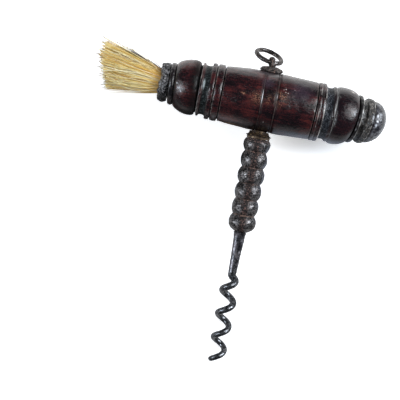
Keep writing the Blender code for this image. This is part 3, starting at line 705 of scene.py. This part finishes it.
def makeHandle():
    knob = walkMembers(handle["knobMembers"], handle["barrel"][1], 1)
    length, radius, steps = handle["dome"]
    foot = knob[-1][0]
    dome = [(foot + length * sine, radius * cosine) for share, sine, cosine in swing(steps, 0, math.pi / 2)]
    knob += dome[1:-1] + [(foot + length, 0)]
    brushSide = walkMembers(handle["brushMembers"], handle["barrel"][0], -1)
    mouth = brushSide[-1][0]
    boreRadius, boreDepth = handle["bore"]
    bevel = handle["boreBevel"]
    brushSide += [(mouth - 0.0001, handle["lip"]), (mouth, boreRadius + bevel)]
    brushSide += [(mouth + bevel, boreRadius), (mouth + boreDepth, boreRadius), (mouth + boreDepth, 0)]
    outline = brushSide[::-1] + barrelOutline() + knob
    layers = {name: hollowValues(outline, reach) for name, reach in handle["reaches"].items()}
    shape = spinOutline(outline, "X", handle["steps"], **layers, station=[place[0] for place in outline])

    def outside(place):
        return math.hypot(place.y, place.z) > boreRadius + 0.001 or place.x > 0.04

    roughen(shape, handle["waves"], 0, outside)
    sideways, up = handle["knobSkew"]
    knobFrom, brushFrom = handle["skewFrom"]
    for vert in shape.verts:
        knobShare = eased((vert.co.x - knobFrom) / handle["skewReach"])
        brushShare = limited((-brushFrom - vert.co.x) / handle["skewReach"])
        vert.co.x += (vert.co.y * sideways + vert.co.z * up) * knobShare
        vert.co.x -= vert.co.y * handle["brushSkew"] * brushShare
    # chips off the crests and wear on the knob's end
    layer = shape.verts.layers.float["hollow"]
    size, rarity, depth = handle["bites"]
    for vert in shape.verts:
        if outside(vert.co) and vert[layer] < -0.00012 and abs(vert.co.x) > 0.02:
            bite = noise.noise(vert.co / size + Vector((5, 2, 9)))
            if bite > rarity:
                inward = Vector((0, -vert.co.y, -vert.co.z)).normalized()
                vert.co += inward * (bite - rarity) * depth
    roughen(shape, handle["buttonWaves"], 0, lambda place: place.x > handle["buttonFrom"])
    wood = newPiece("turnedHandle", shape)

    hole = bmesh.new()
    below, above = (side / math.sqrt(2) for side in handle["tang"])
    stood = Matrix.Rotation(-math.pi / 2, 4, "X") @ Matrix.Rotation(math.pi / 4, 4, "Z")
    bmesh.ops.create_cone(hole, cap_ends=True, segments=4, radius1=below, radius2=above,
                          depth=handle["tangHole"], matrix=stood)
    cutAway(wood, newPiece("tangHole", hole))
    return wood


dress(makeHandle(), "corkscrew", "handle", finishes["wood"])


# The shank: six balls turned in a row, and the square tang that holds the handle
shank = {
    "shoulder": -0.01815,
    "balls": 6,
    "pitch": 0.00773,
    "radius": 0.0065,
    "lastRadius": 0.0067,
    "neckWear": 0.00012,  # how much thinner the necks are than where two balls meet
    "crown": 0.0024,  # from the first ball's middle up to the collar
    "collarRadius": 0.0053,
    "lean": 0.007,  # how far the shank's foot bends to the knob's side, for each unit down
    "leanFrom": 0.016,
    "tail": 0.0045,  # from the last ball's middle down to the stem
    "stemRadius": 0.0027,
    "socket": (0.0021, 0.006),  # radius and depth, for the worm's root
    "tangSides": (0.0052, 0.0042),
    "tangEnd": 0.01365,
    "tangBevel": 0.0003,
    "waves": ((0.0042, 0.00022, 4), (0.0017, 0.00013, 5), (0.0007, 0.00006, 6)),
    "hollowReach": 0.0017,
    "steps": 96,
}


def ballArc(centre, radius, reach, endRadius, steps):
    # From the ball's middle to where it ends, reach away along the shank
    steepest = math.acos(endRadius / radius)
    return [(centre + reach * sine / math.sin(steepest), radius * cosine)
            for share, sine, cosine in swing(steps, 0, steepest)]


def leanOver(shape):
    for vert in shape.verts:
        vert.co.x += shank["lean"] * max(-vert.co.y - shank["leanFrom"], 0)


def makeShank():
    halfPitch = shank["pitch"] / 2
    neck = math.sqrt(shank["radius"] ** 2 - halfPitch ** 2) - shank["neckWear"]
    shoulder, end, bevel = shank["shoulder"], shank["tangEnd"], shank["tangBevel"]
    low, high = (side / 2 for side in shank["tangSides"])
    tang = [(end, 0), (end, high - bevel), (end - bevel, high)]
    tang += [(end * share + shoulder * (1 - share), low + (high - low) * share)
             for share in (0.8, 0.6, 0.4, 0.2)]
    tang += [(shoulder, low)]
    outline = []
    for number in range(shank["balls"]):
        centre = shoulder - shank["crown"] - number * shank["pitch"]
        last = number == shank["balls"] - 1
        radius = shank["lastRadius"] if last else shank["radius"]
        if number == 0:
            crown = ballArc(centre, radius, shank["crown"], shank["collarRadius"], 9)
        else:
            crown = ballArc(centre, radius, halfPitch, neck, 10)[:-1]
        if last:
            tail = ballArc(centre, radius, -shank["tail"], shank["stemRadius"], 14)
        else:
            tail = ballArc(centre, radius, -halfPitch, neck, 10)
        outline += crown[::-1] + tail[1:]
    hollows = [0] * len(tang) + hollowValues(outline, shank["hollowReach"])
    socketRadius, socketDepth = shank["socket"]
    foot = outline[-1][0]
    outline += [(foot, socketRadius), (foot + socketDepth, socketRadius), (foot + socketDepth, 0)]
    hollows += [0, 0, 0]
    shape = spinOutline(tang + outline, "Y", shank["steps"], hollow=hollows)
    for vert in shape.verts:
        wide = math.hypot(vert.co.x, vert.co.z)
        across = max(abs(vert.co.x), abs(vert.co.z))
        if vert.co.y > shoulder - 0.00001 and wide < low * 1.01 and across > 0:
            vert.co.x *= wide / across  # the round bar is filed square
            vert.co.z *= wide / across

    def outside(place):
        return place.y < shoulder and math.hypot(place.x, place.z) > socketRadius + 0.0004

    roughen(shape, shank["waves"], 1, outside)
    leanOver(shape)
    return newPiece("ballShank", shape)


dress(makeShank(), "corkscrew", "shank", finishes["iron"])


# The worm: a tapering stem drawn down to one wire, wound to the right and pointed
worm = {
    "rootTop": -0.058,  # the pin's end inside the last ball
    "rootRadius": 0.0018,
    "stemTop": -0.06385,
    "stemLength": 0.0197,
    "stemSteps": 24,
    "stemRadii": (0.0029, 0.00208),
    "flare": (0.0003, 7),  # at the stem's top, and how soon it ends
    "squareness": 0.55,
    "wireRadius": 0.0018,
    "taper": 0.00042,  # how much thinner the wire is at its end
    "endRadius": 0.00085,
    "coilRadius": 0.00318,  # to the wire's middle
    "pitch": 0.01184,
    "leadSaving": (0.0015, 0.6),  # the first turn is this much shorter, over so many turns
    "turns": 3.88,
    "leadTurns": 0.75,  # over which the wire winds out of the stem's axis
    "endTurns": 0.09,
    "phase": math.radians(156),
    "stepsPerTurn": 44,
    "sides": 20,
    "wireFrom": -0.085,  # below this place the waves are shallower, by the shares
    "waves": ((0.003, 0.00012, 7), (0.0011, 0.00008, 8)),
    "wireShares": (0.45, 0.4),
}


def wormRoute():
    # (place, radius, squareness) down the worm
    stemEnd = worm["stemTop"] - worm["stemLength"]
    top, bottom = worm["stemRadii"]
    route = [(Vector((0, y, 0)), worm["rootRadius"], 0) for y in (worm["rootTop"], worm["stemTop"])]
    flare, quickness = worm["flare"]
    for step in range(worm["stemSteps"] + 1):
        share = step / worm["stemSteps"]
        y = worm["stemTop"] - 0.0002 - (worm["stemLength"] - 0.0002) * share
        radius = top + (bottom - top) * share ** 0.7 + flare * max(0, 1 - share * quickness) ** 2
        route.append((Vector((0, y, 0)), radius, worm["squareness"] * (1 - share ** 3)))
    steps = round(worm["turns"] * worm["stepsPerTurn"])
    saving, savingTurns = worm["leadSaving"]
    for step in range(1, steps + 1):
        turn = worm["turns"] * step / steps
        lead = turn / worm["leadTurns"]
        coil = worm["coilRadius"] * eased(lead)
        angle = worm["phase"] - 2 * math.pi * turn
        y = stemEnd - worm["pitch"] * turn + saving * eased(turn / savingTurns)
        place = Vector((coil * math.cos(angle), y, -coil * math.sin(angle)))
        wire = bottom + (worm["wireRadius"] - bottom) * limited(lead * 1.6)
        wire -= worm["taper"] * turn / worm["turns"]
        toEnd = max(worm["turns"] - turn, 0) / worm["endTurns"]
        if toEnd < 1:
            wire = worm["endRadius"] + (wire - worm["endRadius"]) * math.sqrt(1 - (1 - toEnd) ** 2)
        route.append((place, wire, 0))
    return route


def makeWorm():
    route = wormRoute()
    shape = bmesh.new()
    rim = bmesh.ops.create_circle(shape, cap_ends=True, segments=worm["sides"], radius=1)["verts"]
    across = [vert.co.xy.copy() for vert in rim]
    side = Vector((1, 0, 0))
    edges = shape.edges[:]
    for number, (place, radius, square) in enumerate(route):
        if number:
            made = bmesh.ops.extrude_edge_only(shape, edges=edges)["geom"]
            fresh = {item for item in made if isinstance(item, bmesh.types.BMVert)}
            edges = [item for item in made if isinstance(item, bmesh.types.BMEdge)]
            rim = [next(edge.other_vert(vert) for edge in vert.link_edges if edge.other_vert(vert) in fresh)
                   for vert in rim]
            edges = [edge for edge in edges if edge.verts[0] in fresh and edge.verts[1] in fresh]
        ahead = route[min(number + 1, len(route) - 1)][0] - route[max(number - 1, 0)][0]
        ahead.normalize()
        side = (side - ahead * side.dot(ahead)).normalized()
        up = ahead.cross(side)
        for vert, (x, y) in zip(rim, across):
            # a hammered square with rounded corners on the stem, round on the wire
            corner = (abs(x) ** 4 + abs(y) ** 4) ** -0.25
            vert.co = place + (side * x + up * y) * radius * (1 + (corner - 1) * square)
    bmesh.ops.contextual_create(shape, geom=edges)
    for wave, share in zip(worm["waves"], worm["wireShares"]):
        roughen(shape, (wave,), only=lambda place: 1 if place.y > worm["wireFrom"] else share)
    leanOver(shape)
    return newPiece("wormWire", shape, crease=50)


dress(makeWorm(), "corkscrew", "worm", finishes["worm"])


# The flared collar between the handle and the first ball, hollowed to the barrel
collar = {
    "foot": -0.01785,
    "height": 0.00345,
    "outline": (  # (height above the foot, radius), inside to outside and back
        (0.00345, 0.004), (0.00345, 0.00455), (0.0033, 0.00472), (0.0029, 0.0047),
        (0.0025, 0.00485), (0.0021, 0.00508), (0.0018, 0.00535), (0.0016, 0.00568),
        (0.0015, 0.00598), (0.00142, 0.00612), (0.00132, 0.00606), (0.00105, 0.00572),
        (0.0007, 0.00552), (0.0003, 0.00545), (-0.0001, 0.00538), (-0.0002, 0.00515),
        (0.0, 0.0049), (0.0, 0.004),
    ),
    "sink": 0.00035,  # how far its upper edge is let down from the barrel
    "longest": 0.0008,  # edges longer than this along the shank are divided
    "waves": ((0.002, 0.00022, 9), (0.0008, 0.00022, 10)),
    "hollowReach": 0.0008,
    "steps": 96,
}


def makeCollar():
    outline = [(collar["foot"] + height, radius) for height, radius in collar["outline"]]
    shape = spinOutline(outline + outline[:1], "Y", collar["steps"],
                        hollow=hollowValues(outline, collar["hollowReach"]) + [0])
    tall = [edge for edge in shape.edges
            if abs(edge.verts[0].co.y - edge.verts[1].co.y) > collar["longest"]]
    bmesh.ops.subdivide_edges(shape, edges=tall, cuts=4)
    top = handle["radius"][1] + seat
    for vert in shape.verts:
        # its upper edge follows the barrel, and the rest less and less
        share = max((vert.co.y - collar["foot"]) / collar["height"], 0)
        rise = top - math.sqrt(top * top - vert.co.z ** 2)
        vert.co.y += (rise - collar["sink"]) * share ** 2
    roughen(shape, collar["waves"])
    return newPiece("flaredCollar", shape)


dress(makeCollar(), "corkscrew", "lower_collar", finishes["brass"])


# The domed washer on top of the handle, bent to the barrel
washer = {
    "radius": 0.0055,
    "bore": 0.00135,
    "rim": 0.0008,
    "height": 0.0022,
    "bevel": 0.0001,
    "domeSteps": 14,
    "waves": ((0.0026, 0.00018, 11), (0.0009, 0.00009, 12)),
    "hollowReach": 0.0006,
    "smoothTo": 0.002,  # no waves nearer to the eye than this
    "steps": 96,
}


def makeWasher():
    foot = handle["radius"][1] + seat
    bore, radius, rim, bevel = washer["bore"], washer["radius"], washer["rim"], washer["bevel"]
    top = foot + washer["height"]
    outline = [(foot, bore), (top - bevel, bore), (top, bore + bevel)]
    for share, sine, cosine in list(swing(washer["domeSteps"], 0, math.pi / 2))[1:]:
        outline.append((foot + rim + (washer["height"] - rim) * cosine ** 1.2, bore + (radius - bore) * sine))
    outline += [(foot + rim * 0.5, radius + bevel), (foot + bevel, radius - bevel)]
    outline += [(foot, radius - bevel * 3)]
    outline += [(foot, bore + (radius - bore) * share) for share in (0.75, 0.5, 0.25, 0)]
    shape = spinOutline(outline, "Y", washer["steps"],
                        hollow=hollowValues(outline[:-1], washer["hollowReach"]) + [0])
    for vert in shape.verts:
        vert.co.y -= foot - math.sqrt(foot * foot - vert.co.z ** 2)
    roughen(shape, washer["waves"], only=lambda place: math.hypot(place.x, place.z) > washer["smoothTo"])
    return newPiece("saddleWasher", shape)


dress(makeWasher(), "corkscrew", "upper_washer", finishes["washer"])


# The round-headed eye that holds the ring, screwed down into the tang
eye = {
    "foot": 0.01705,
    "footRadius": (0.0016, 0.0017),  # at its underside and above it
    "head": (0.02165, 0.0016),  # its top and its radius
    "neckTurn": 0.42,  # how far below its middle the head meets the shoulder
    "shoulder": 0.00045,  # how far the shoulder bulges
    "thickness": 0.003,
    "bolt": (0.00105, 0.01075),  # radius and lower end
    "threads": (24, 0.00024, 0.00014),  # steps, half the pitch and the depth
    "hole": (0.00144, 0.0019),  # its radius in the middle and at its worn mouths
    "holeReach": 0.004,
    "turn": math.radians(19.5),
    "bend": (0.0006, 0.002),  # towards the brush, and over what height
    "waves": ((0.0014, 0.00009, 13),),
    "hollowReach": 0.0005,
    "steps": 64,
}


def makeEye():
    foot, (top, head) = eye["foot"], eye["head"]
    boltRadius, boltEnd = eye["bolt"]
    outline = [(boltEnd, 0), (boltEnd, boltRadius - 0.0002), (boltEnd + 0.0002, boltRadius)]
    count, rise, depth = eye["threads"]
    outline += [(boltEnd + 0.0004 + step * rise, boltRadius - depth * (step % 2)) for step in range(count)]
    under, over = eye["footRadius"]
    outline += [(foot, boltRadius), (foot, under), (foot + 0.0002, over)]
    neck = head * math.cos(eye["neckTurn"])
    neckPlace = top - head - head * math.sin(eye["neckTurn"])
    low = foot + 0.0003
    for share, sine, cosine in swing(18, 0, math.pi):
        outline.append((low + (neckPlace - low) * (1 - cosine) / 2,
                        over + (neck - over) * share + eye["shoulder"] * sine))
    outline += [(top - head + head * sine, head * cosine)
                for share, sine, cosine in swing(16, -eye["neckTurn"], math.pi / 2)][1:-1] + [(top, 0)]
    shape = spinOutline(outline, "Y", eye["steps"], hollow=hollowValues(outline, eye["hollowReach"]))
    roughen(shape, eye["waves"], only=lambda place: place.y > foot + 0.0002)
    piece = newPiece("ringEye", shape)

    place = toolPlace @ Matrix.Translation((0, lie["eyeHole"], 0)) @ Matrix.Rotation(eye["turn"], 4, "Y")
    throat, mouth = eye["hole"]
    half, reach = eye["thickness"] / 2, eye["holeReach"]
    outwards = [(half * 0.5, throat + 0.0001), (half + 0.0001, mouth), (reach, mouth * 2), (reach, 0)]
    outline = [(-station, radius) for station, radius in outwards[::-1]] + [(0, throat)] + outwards
    cutAway(piece, newPiece("eyeHole", spinOutline(outline, "X", 40), place))
    for side in (-1, 1):
        flat = bmesh.new()
        bmesh.ops.create_cube(flat, size=reach)
        middle = (side * (half + reach / 2), foot - lie["eyeHole"] + reach / 2, 0)
        bmesh.ops.translate(flat, vec=middle, verts=flat.verts)
        cutAway(piece, newPiece("eyeFlat", flat, place))
    bend, height = eye["bend"]
    for vert in piece.data.vertices:
        vert.co.x -= bend * limited(((toolPlace.inverted() @ vert.co).y - foot) / height)
    smoothFaces(piece.data, 35)
    return piece


dress(makeEye(), "corkscrew", "ring_eye", finishes["washer"])


# The hanging ring, lying over towards the table in its eye
ring = {
    "wire": 0.0011,
    "coil": 0.0064,
    "lean": math.radians(-61),
    "slack": math.radians(4),  # turned a little in its loose hole
    "waves": ((0.0024, 0.0001, 14), (0.001, 0.00006, 15)),
    "steps": 120,
    "sides": 20,
}


def makeRing():
    shape = bmesh.new()
    shape.verts.layers.float.new("hollow")
    upright = Matrix.Translation((ring["coil"], 0, 0)) @ Matrix.Rotation(math.pi / 2, 4, "X")
    made = bmesh.ops.create_circle(shape, segments=ring["sides"], radius=ring["wire"], matrix=upright)
    spinFull(shape, made["verts"] + shape.edges[:], (0, 0, 1), ring["steps"])
    roughen(shape, ring["waves"])
    place = toolPlace @ Matrix.Translation((0, lie["eyeHole"], 0))
    place = place @ Matrix.Rotation(eye["turn"] + ring["slack"], 4, "Y")
    place = place @ Matrix.Rotation(ring["lean"], 4, "X") @ Matrix.Translation((0, ring["coil"], 0))
    return newPiece("hangingRing", shape, place, 60)


dress(makeRing(), "ring", "suspension_ring", finishes["ring"])


# The black pitch that holds the bristles, pressed on by hand in lumps
pitchBead = {
    "face": -0.0469,
    "length": 0.0044,
    "radius": 0.00915,
    "foot": ((0, 0.0074), (0.0001, 0.0082)),  # (distance out, radius) where it meets the wood
    "edges": (0.0084, 0.0067),  # the bead's radius at the wood and at the bristles
    "endRadius": 0.0066,
    "mouth": 0.006,
    "plug": (0.0064, 0.0034),  # radius and length inside the bore
    "smoothTo": 0.0062,  # no lumps nearer to the axis than this
    "waves": ((0.0036, 0.0008, 16), (0.0015, 0.00065, 17), (0.0007, 0.00025, 18)),
    "steps": 112,
}


def makePitchBead():
    face, length, mouth = pitchBead["face"], pitchBead["length"], pitchBead["mouth"]
    plugRadius, plugLength = pitchBead["plug"]
    outline = [(face + plugLength, mouth), (face + plugLength, plugRadius), (face, plugRadius)]
    outline += [(face - out, radius) for out, radius in pitchBead["foot"]]
    for share, sine, cosine in swing(28, 0, math.pi):
        station = face - 0.0002 - (length - 0.0002) * (1 - cosine) / 2
        low = pitchBead["edges"][0 if share < 0.5 else 1]
        outline.append((station, low + (pitchBead["radius"] - low) * sine ** 0.75))
    tail = face - length
    outline += [(tail, pitchBead["endRadius"]), (tail + 0.0003, mouth + 0.0002), (tail + 0.001, mouth)]
    outline += [(face, mouth), (face + plugLength, mouth)]
    shape = spinOutline(outline, "X", pitchBead["steps"])

    def outside(place):
        return place.x < face - 0.0001 and math.hypot(place.y, place.z) > pitchBead["smoothTo"]

    roughen(shape, pitchBead["waves"], only=outside)
    return newPiece("pitchBead", shape, crease=60)


dress(makePitchBead(), "corkscrew", "pitch_plug", finishes["pitch"])


# The dusting brush: bristles that rise from one backing disc and fan out of the pitch
brush = {
    "strands": 1450,
    "clumps": 95,
    "back": -0.0379,  # the backing disc's upper side, deep in the bore
    "backing": 0.0015,
    "rootRadius": 0.0047,
    "mouth": -0.0513,
    "mouthRadius": 0.00575,
    "length": 0.03,
    "ragged": (0.0075, 0.002),  # how much shorter and longer single strands are
    "slants": (0.0042, 0.0008, 0.0014),  # how much shorter the lower half, the lowest and the uppermost are
    "clumping": 0.16,  # how much of its way to the clump a tip goes, at most
    "scatter": 0.05,
    "tones": (0.61, 0.85, 14, 0.22),  # the middle, the patches' strength and fineness, and the spread
    "darkHairs": (0.76, 0.75, 0.68),  # where they begin at the upper edge, and how their number grows
    "curling": (-0.55, 0.07),  # on top from this place on, and their share
    "standing": 0.06,  # the share of strands that stand out
    "tipRadius": 0.0122,
    "lean": math.tan(math.radians(4.2)),
    "thickness": (0.00018, 0.000115),  # radius at the pitch and at the tip
    "rootShare": 0.8,  # of that radius, in the bore
    "segments": 6,
}


def scatter(chance):
    spread = brush["scatter"]
    return Vector((chance.gauss(0, spread), chance.gauss(0, spread)))


def brushStrands(chance):
    # clumps draw their bristles together towards the tips
    clumps = [Vector((chance.uniform(-1, 1), chance.uniform(-1, 1))) for number in range(brush["clumps"])]
    shorter, longer = brush["ragged"]
    lower, lowest, upper = brush["slants"]
    tone, patches, fineness, spread = brush["tones"]
    darkFrom, darkRise, darkStart = brush["darkHairs"]
    curlingFrom, curling = brush["curling"]
    strands = []
    for number in range(brush["strands"]):
        reach = math.sqrt((number + 0.5) / brush["strands"])
        angle = number * 2.399963  # the golden angle, which spreads the roots evenly
        root = Vector((math.cos(angle), math.sin(angle))) * reach
        clump = min(clumps, key=lambda centre: (centre - root).length)
        patch = noise.noise(Vector((root.x * fineness, root.y * fineness, 3)))
        strand = {
            "root": root,
            "tip": root.lerp(clump, brush["clumping"] * chance.random()) + scatter(chance),
            "bend": scatter(chance),
            "length": brush["length"] - shorter * chance.random() ** 1.7 + longer * chance.random() ** 5,
            "tone": limited(tone + patches * patch + chance.gauss(0, spread)),
            "tipScale": 1.0,
            "outward": 0.0,
        }
        below = limited(0.5 - root.x)
        strand["length"] -= lower * below + lowest * max((-0.45 - root.x) / 0.55, 0)
        strand["length"] -= upper * max((root.x - 0.4) / 0.6, 0) ** 1.5
        strand["tip"].x *= 1 + 0.16 * max(root.x - 0.2, 0)
        if root.x > darkFrom and chance.random() < darkRise * (root.x - darkStart):
            strand["tone"] = -1  # dark hairs along the upper edge
            strand["length"] -= 0.001 + 0.02 * chance.random()
            strand["outward"] = 0.0006 + 0.0014 * chance.random()
            strand["tipScale"] = 1.15
        elif root.y < curlingFrom and chance.random() < curling:  # a few curl across the others on top
            strand["tip"] += Vector((chance.uniform(-0.5, 0.5), -0.1))
            strand["bend"] = Vector((chance.uniform(-0.9, 0.9), -0.25))
            strand["tone"] = chance.uniform(0.7, 1.0)
        if strand["tone"] >= 0 and chance.random() < brush["standing"]:  # one stands out, with a dark tip
            strand["tip"] *= 1.03
            strand["length"] = max(strand["length"], brush["length"] - lower * below - 0.0012)
            strand["length"] += 0.0004 + 0.0028 * chance.random()
            strand["tipScale"] = 1.25
        strands.append(strand)
    # one long hair lies apart below the others
    strands[-3].update(root=Vector((-0.98, 0.1)), tip=Vector((-1.16, 0.12)), bend=Vector((0, 0)),
                       tone=0.9, tipScale=1.01, length=0.0248)
    return strands


def makeBrush():
    chance = random.Random(11)
    strands = brushStrands(chance)
    full, tip = brush["thickness"]
    rootThickness = full * brush["rootShare"]
    shape = bmesh.new()
    for strand in strands:
        foot = strand["root"] * brush["rootRadius"]
        place = Matrix.Translation((foot.x, foot.y, 0)) @ Matrix.Rotation(chance.uniform(0, 2), 4, "Z")
        bmesh.ops.create_circle(shape, cap_ends=True, segments=3, radius=rootThickness, matrix=place)
    shape.faces.ensure_lookup_table()
    reachLayer = shape.verts.layers.float.new("reach")
    toneLayer = shape.verts.layers.float.new("tone")
    ends = list(shape.faces)
    for strand, face in zip(strands, ends):
        for vert in face.verts:
            vert[toneLayer] = strand["tone"]
    corners = [[vert.co - face.calc_center_median() for vert in face.verts] for face in ends]
    mouthRise = brush["back"] - brush["mouth"]
    for segment in range(brush["segments"] + 1):
        ends = bmesh.ops.extrude_discrete_faces(shape, faces=ends)["faces"]
        share = segment / brush["segments"]
        for strand, face, around in zip(strands, ends, corners):
            out = strand["length"] * share
            middle = strand["root"] * brush["mouthRadius"]
            away = strand["tip"] * brush["tipRadius"]
            if strand["outward"]:  # it ends on the fan's surface and stands off it
                away = middle.lerp(away, strand["length"] / brush["length"])
                away += Vector((strand["outward"], 0))
            else:
                away *= strand["length"] / brush["length"]
            middle = middle.lerp(away, share ** 0.92)
            middle += strand["bend"] * brush["tipRadius"] * share * (1 - share) * 1.6
            centre = Vector((middle.x + brush["lean"] * out, middle.y, mouthRise + out))
            thick = full + (tip * strand["tipScale"] - full) * share
            for vert, corner in zip(face.verts, around):
                vert.co = centre + corner * (thick / rootThickness)
                vert[reachLayer] = 0.3 + (0.7 if strand["tipScale"] > 1 else 0.6) * share
    discRadius = brush["rootRadius"] + 0.0002
    disc = bmesh.ops.create_cone(shape, cap_ends=True, segments=48, radius1=discRadius,
                                 radius2=discRadius, depth=brush["backing"],
                                 matrix=Matrix.Translation((0, 0, -brush["backing"] / 2 + 0.0001)))
    for vert in disc["verts"]:
        vert[toneLayer] = 0.3
        vert[reachLayer] = 0.3
    # here X is up the shank and Z out of the bore
    lay = Matrix(((0, 0, -1, brush["back"]), (1, 0, 0, 0), (0, -1, 0, 0), (0, 0, 0, 1)))
    return newPiece("dustingBristles", shape, toolPlace @ lay, 80)


dress(makeBrush(), "corkscrew", "bristles", finishes["bristle"])

binding = frame["nodes"]["bristle_binding"]  # hidden in the bore, so the CAD shape stays
binding.data.materials.clear()
binding.data.materials.append(finishes["thread"])
print("pieces ready")


# The table, white to the camera, that keeps the corkscrew's shadow. Reflections see it grey, and
# darker towards the worm.
table = {
    "size": 3.0,
    "colour": (0.92, 0.93, 0.95, 1),
    "glow": (0.74, 0.38),  # added for the camera, and where the shadow shows best
    "deeper": ((0.043, 0.036, 0), (0.032, 0.0128, 0.1)),  # that place and its size
    "reflected": (  # what reflections see, from far below the handle to above it
        (0.12, 0.09), (0.24, 0.4), (0.495, 0.4), (0.53, 0.05), (0.595, 0.05), (0.65, 1.0),
    ),
    "pools": (  # bluish places in that reflection: place and colour
        (((0.042, 0.018, 0), (0.04, 0.03, 0.1)), (0.58, 0.66, 0.8)),
        (((0.092, 0.03, 0), (0.036, 0.06, 0.1)), (0.9, 0.95, 1.0)),
        (((-0.008, 0.006, 0), (0.013, 0.022, 0.1)), (0.6, 0.65, 0.72)),
    ),
}


def makeTable():
    shape = bmesh.new()
    bmesh.ops.create_grid(shape, x_segments=1, y_segments=1, size=table["size"] / 2)
    mesh = bpy.data.meshes.new("table")
    shape.to_mesh(mesh)
    shape.free()
    top = putInScene("table", mesh)
    finish = bpy.data.materials.new("tableFinish")
    finish.use_nodes = True
    tree = finish.node_tree
    tree.nodes.clear()
    rays = addNode(tree, "LightPath").outputs
    place = addNode(tree, "TexCoord").outputs["Object"]
    up = addNode(tree, "SeparateXYZ", n0=place).outputs["Y"]
    reflected = ramp(up, table["reflected"], 2.5, 0.5)
    for pool, colour in table["pools"]:
        reflected = layOver(reflected, colour, spots(place, pool))
    glow, deepGlow = table["glow"]
    glow = weighed(glow, (spots(place, table["deeper"]), deepGlow - glow))
    direct = largest(rays["Is Camera Ray"], rays["Is Transmission Ray"])
    lit = addNode(tree, "BsdfDiffuse", Color=table["colour"])
    plain = addNode(tree, "Emission", Color=(1, 1, 1, 1), Strength=times(direct, glow))
    bright = addNode(tree, "AddShader", n0=lit.outputs[0], n1=plain.outputs[0])
    mirrored = addNode(tree, "Emission", Color=reflected, Strength=1)
    mixed = addNode(tree, "MixShader", n0=rays["Is Glossy Ray"], n1=bright.outputs[0],
                    n2=mirrored.outputs[0])
    addNode(tree, "OutputMaterial", Surface=mixed.outputs[0])
    mesh.materials.append(finish)


makeTable()


# The camera looks straight down, turned so that the handle slopes 11 degrees down to the right
camera = {
    "roll": math.radians(11),
    "above": (-0.00954, -0.00181),  # the point under it
    "distance": 0.42,  # above the handle's axis
    "lens": 78.89,
}


def makeCamera():
    data = bpy.data.cameras.new("camera")
    data.lens = camera["lens"]
    data.sensor_width = 36
    data.clip_start = 0.01
    view = putInScene("camera", data)
    view.location = (*camera["above"], crossing.z + camera["distance"])
    view.rotation_euler = (0, 0, camera["roll"])
    bpy.context.scene.camera = view


makeCamera()

# Softboxes, each (name, degrees round from the camera's right, degrees from straight up,
# distance, width, height, watts)
lamps = (
    ("rightSoftbox", 14, 48, 0.75, 0.6, 0.62, 3.8),
    ("rightLamp", 8, 58, 0.75, 0.16, 0.2, 1.2),
    ("leftSoftbox", 182, 55, 0.75, 0.6, 0.7, 1.5),
    ("leftLamp", 182, 53, 0.75, 0.15, 0.22, 1.2),
    ("topFill", 96, 34, 0.9, 0.6, 0.5, 2.3),
)
for name, around, tilt, distance, width, height, watts in lamps:
    data = bpy.data.lights.new(name, "AREA")
    data.shape = "ELLIPSE"
    data.size, data.size_y = width, height
    data.energy = watts
    data.color = (0.76, 0.87, 1.0) if "Lamp" in name else (0.96, 0.98, 1.0)
    lamp = putInScene(name, data)
    way = math.radians(around) + camera["roll"]
    tilted = math.radians(tilt)
    flat = math.sin(tilted)
    toLamp = Vector((math.cos(way) * flat, math.sin(way) * flat, math.cos(tilted)))
    lamp.location = toLamp * distance + Vector((0, 0, 0.01))
    lamp.rotation_euler = toLamp.to_track_quat("Z", "Y").to_euler()
    lamp.visible_glossy = name != "topFill"  # the fill lights the colours and shows in no gloss

world = bpy.data.worlds.new("studio")
world.use_nodes = True
sky = world.node_tree.nodes["Background"]
fill(sky, Color=(0.82, 0.9, 1.0, 1), Strength=0.06)
bpy.context.scene.world = world
bpy.context.scene.view_settings.view_transform = "Standard"
print("studio ready")
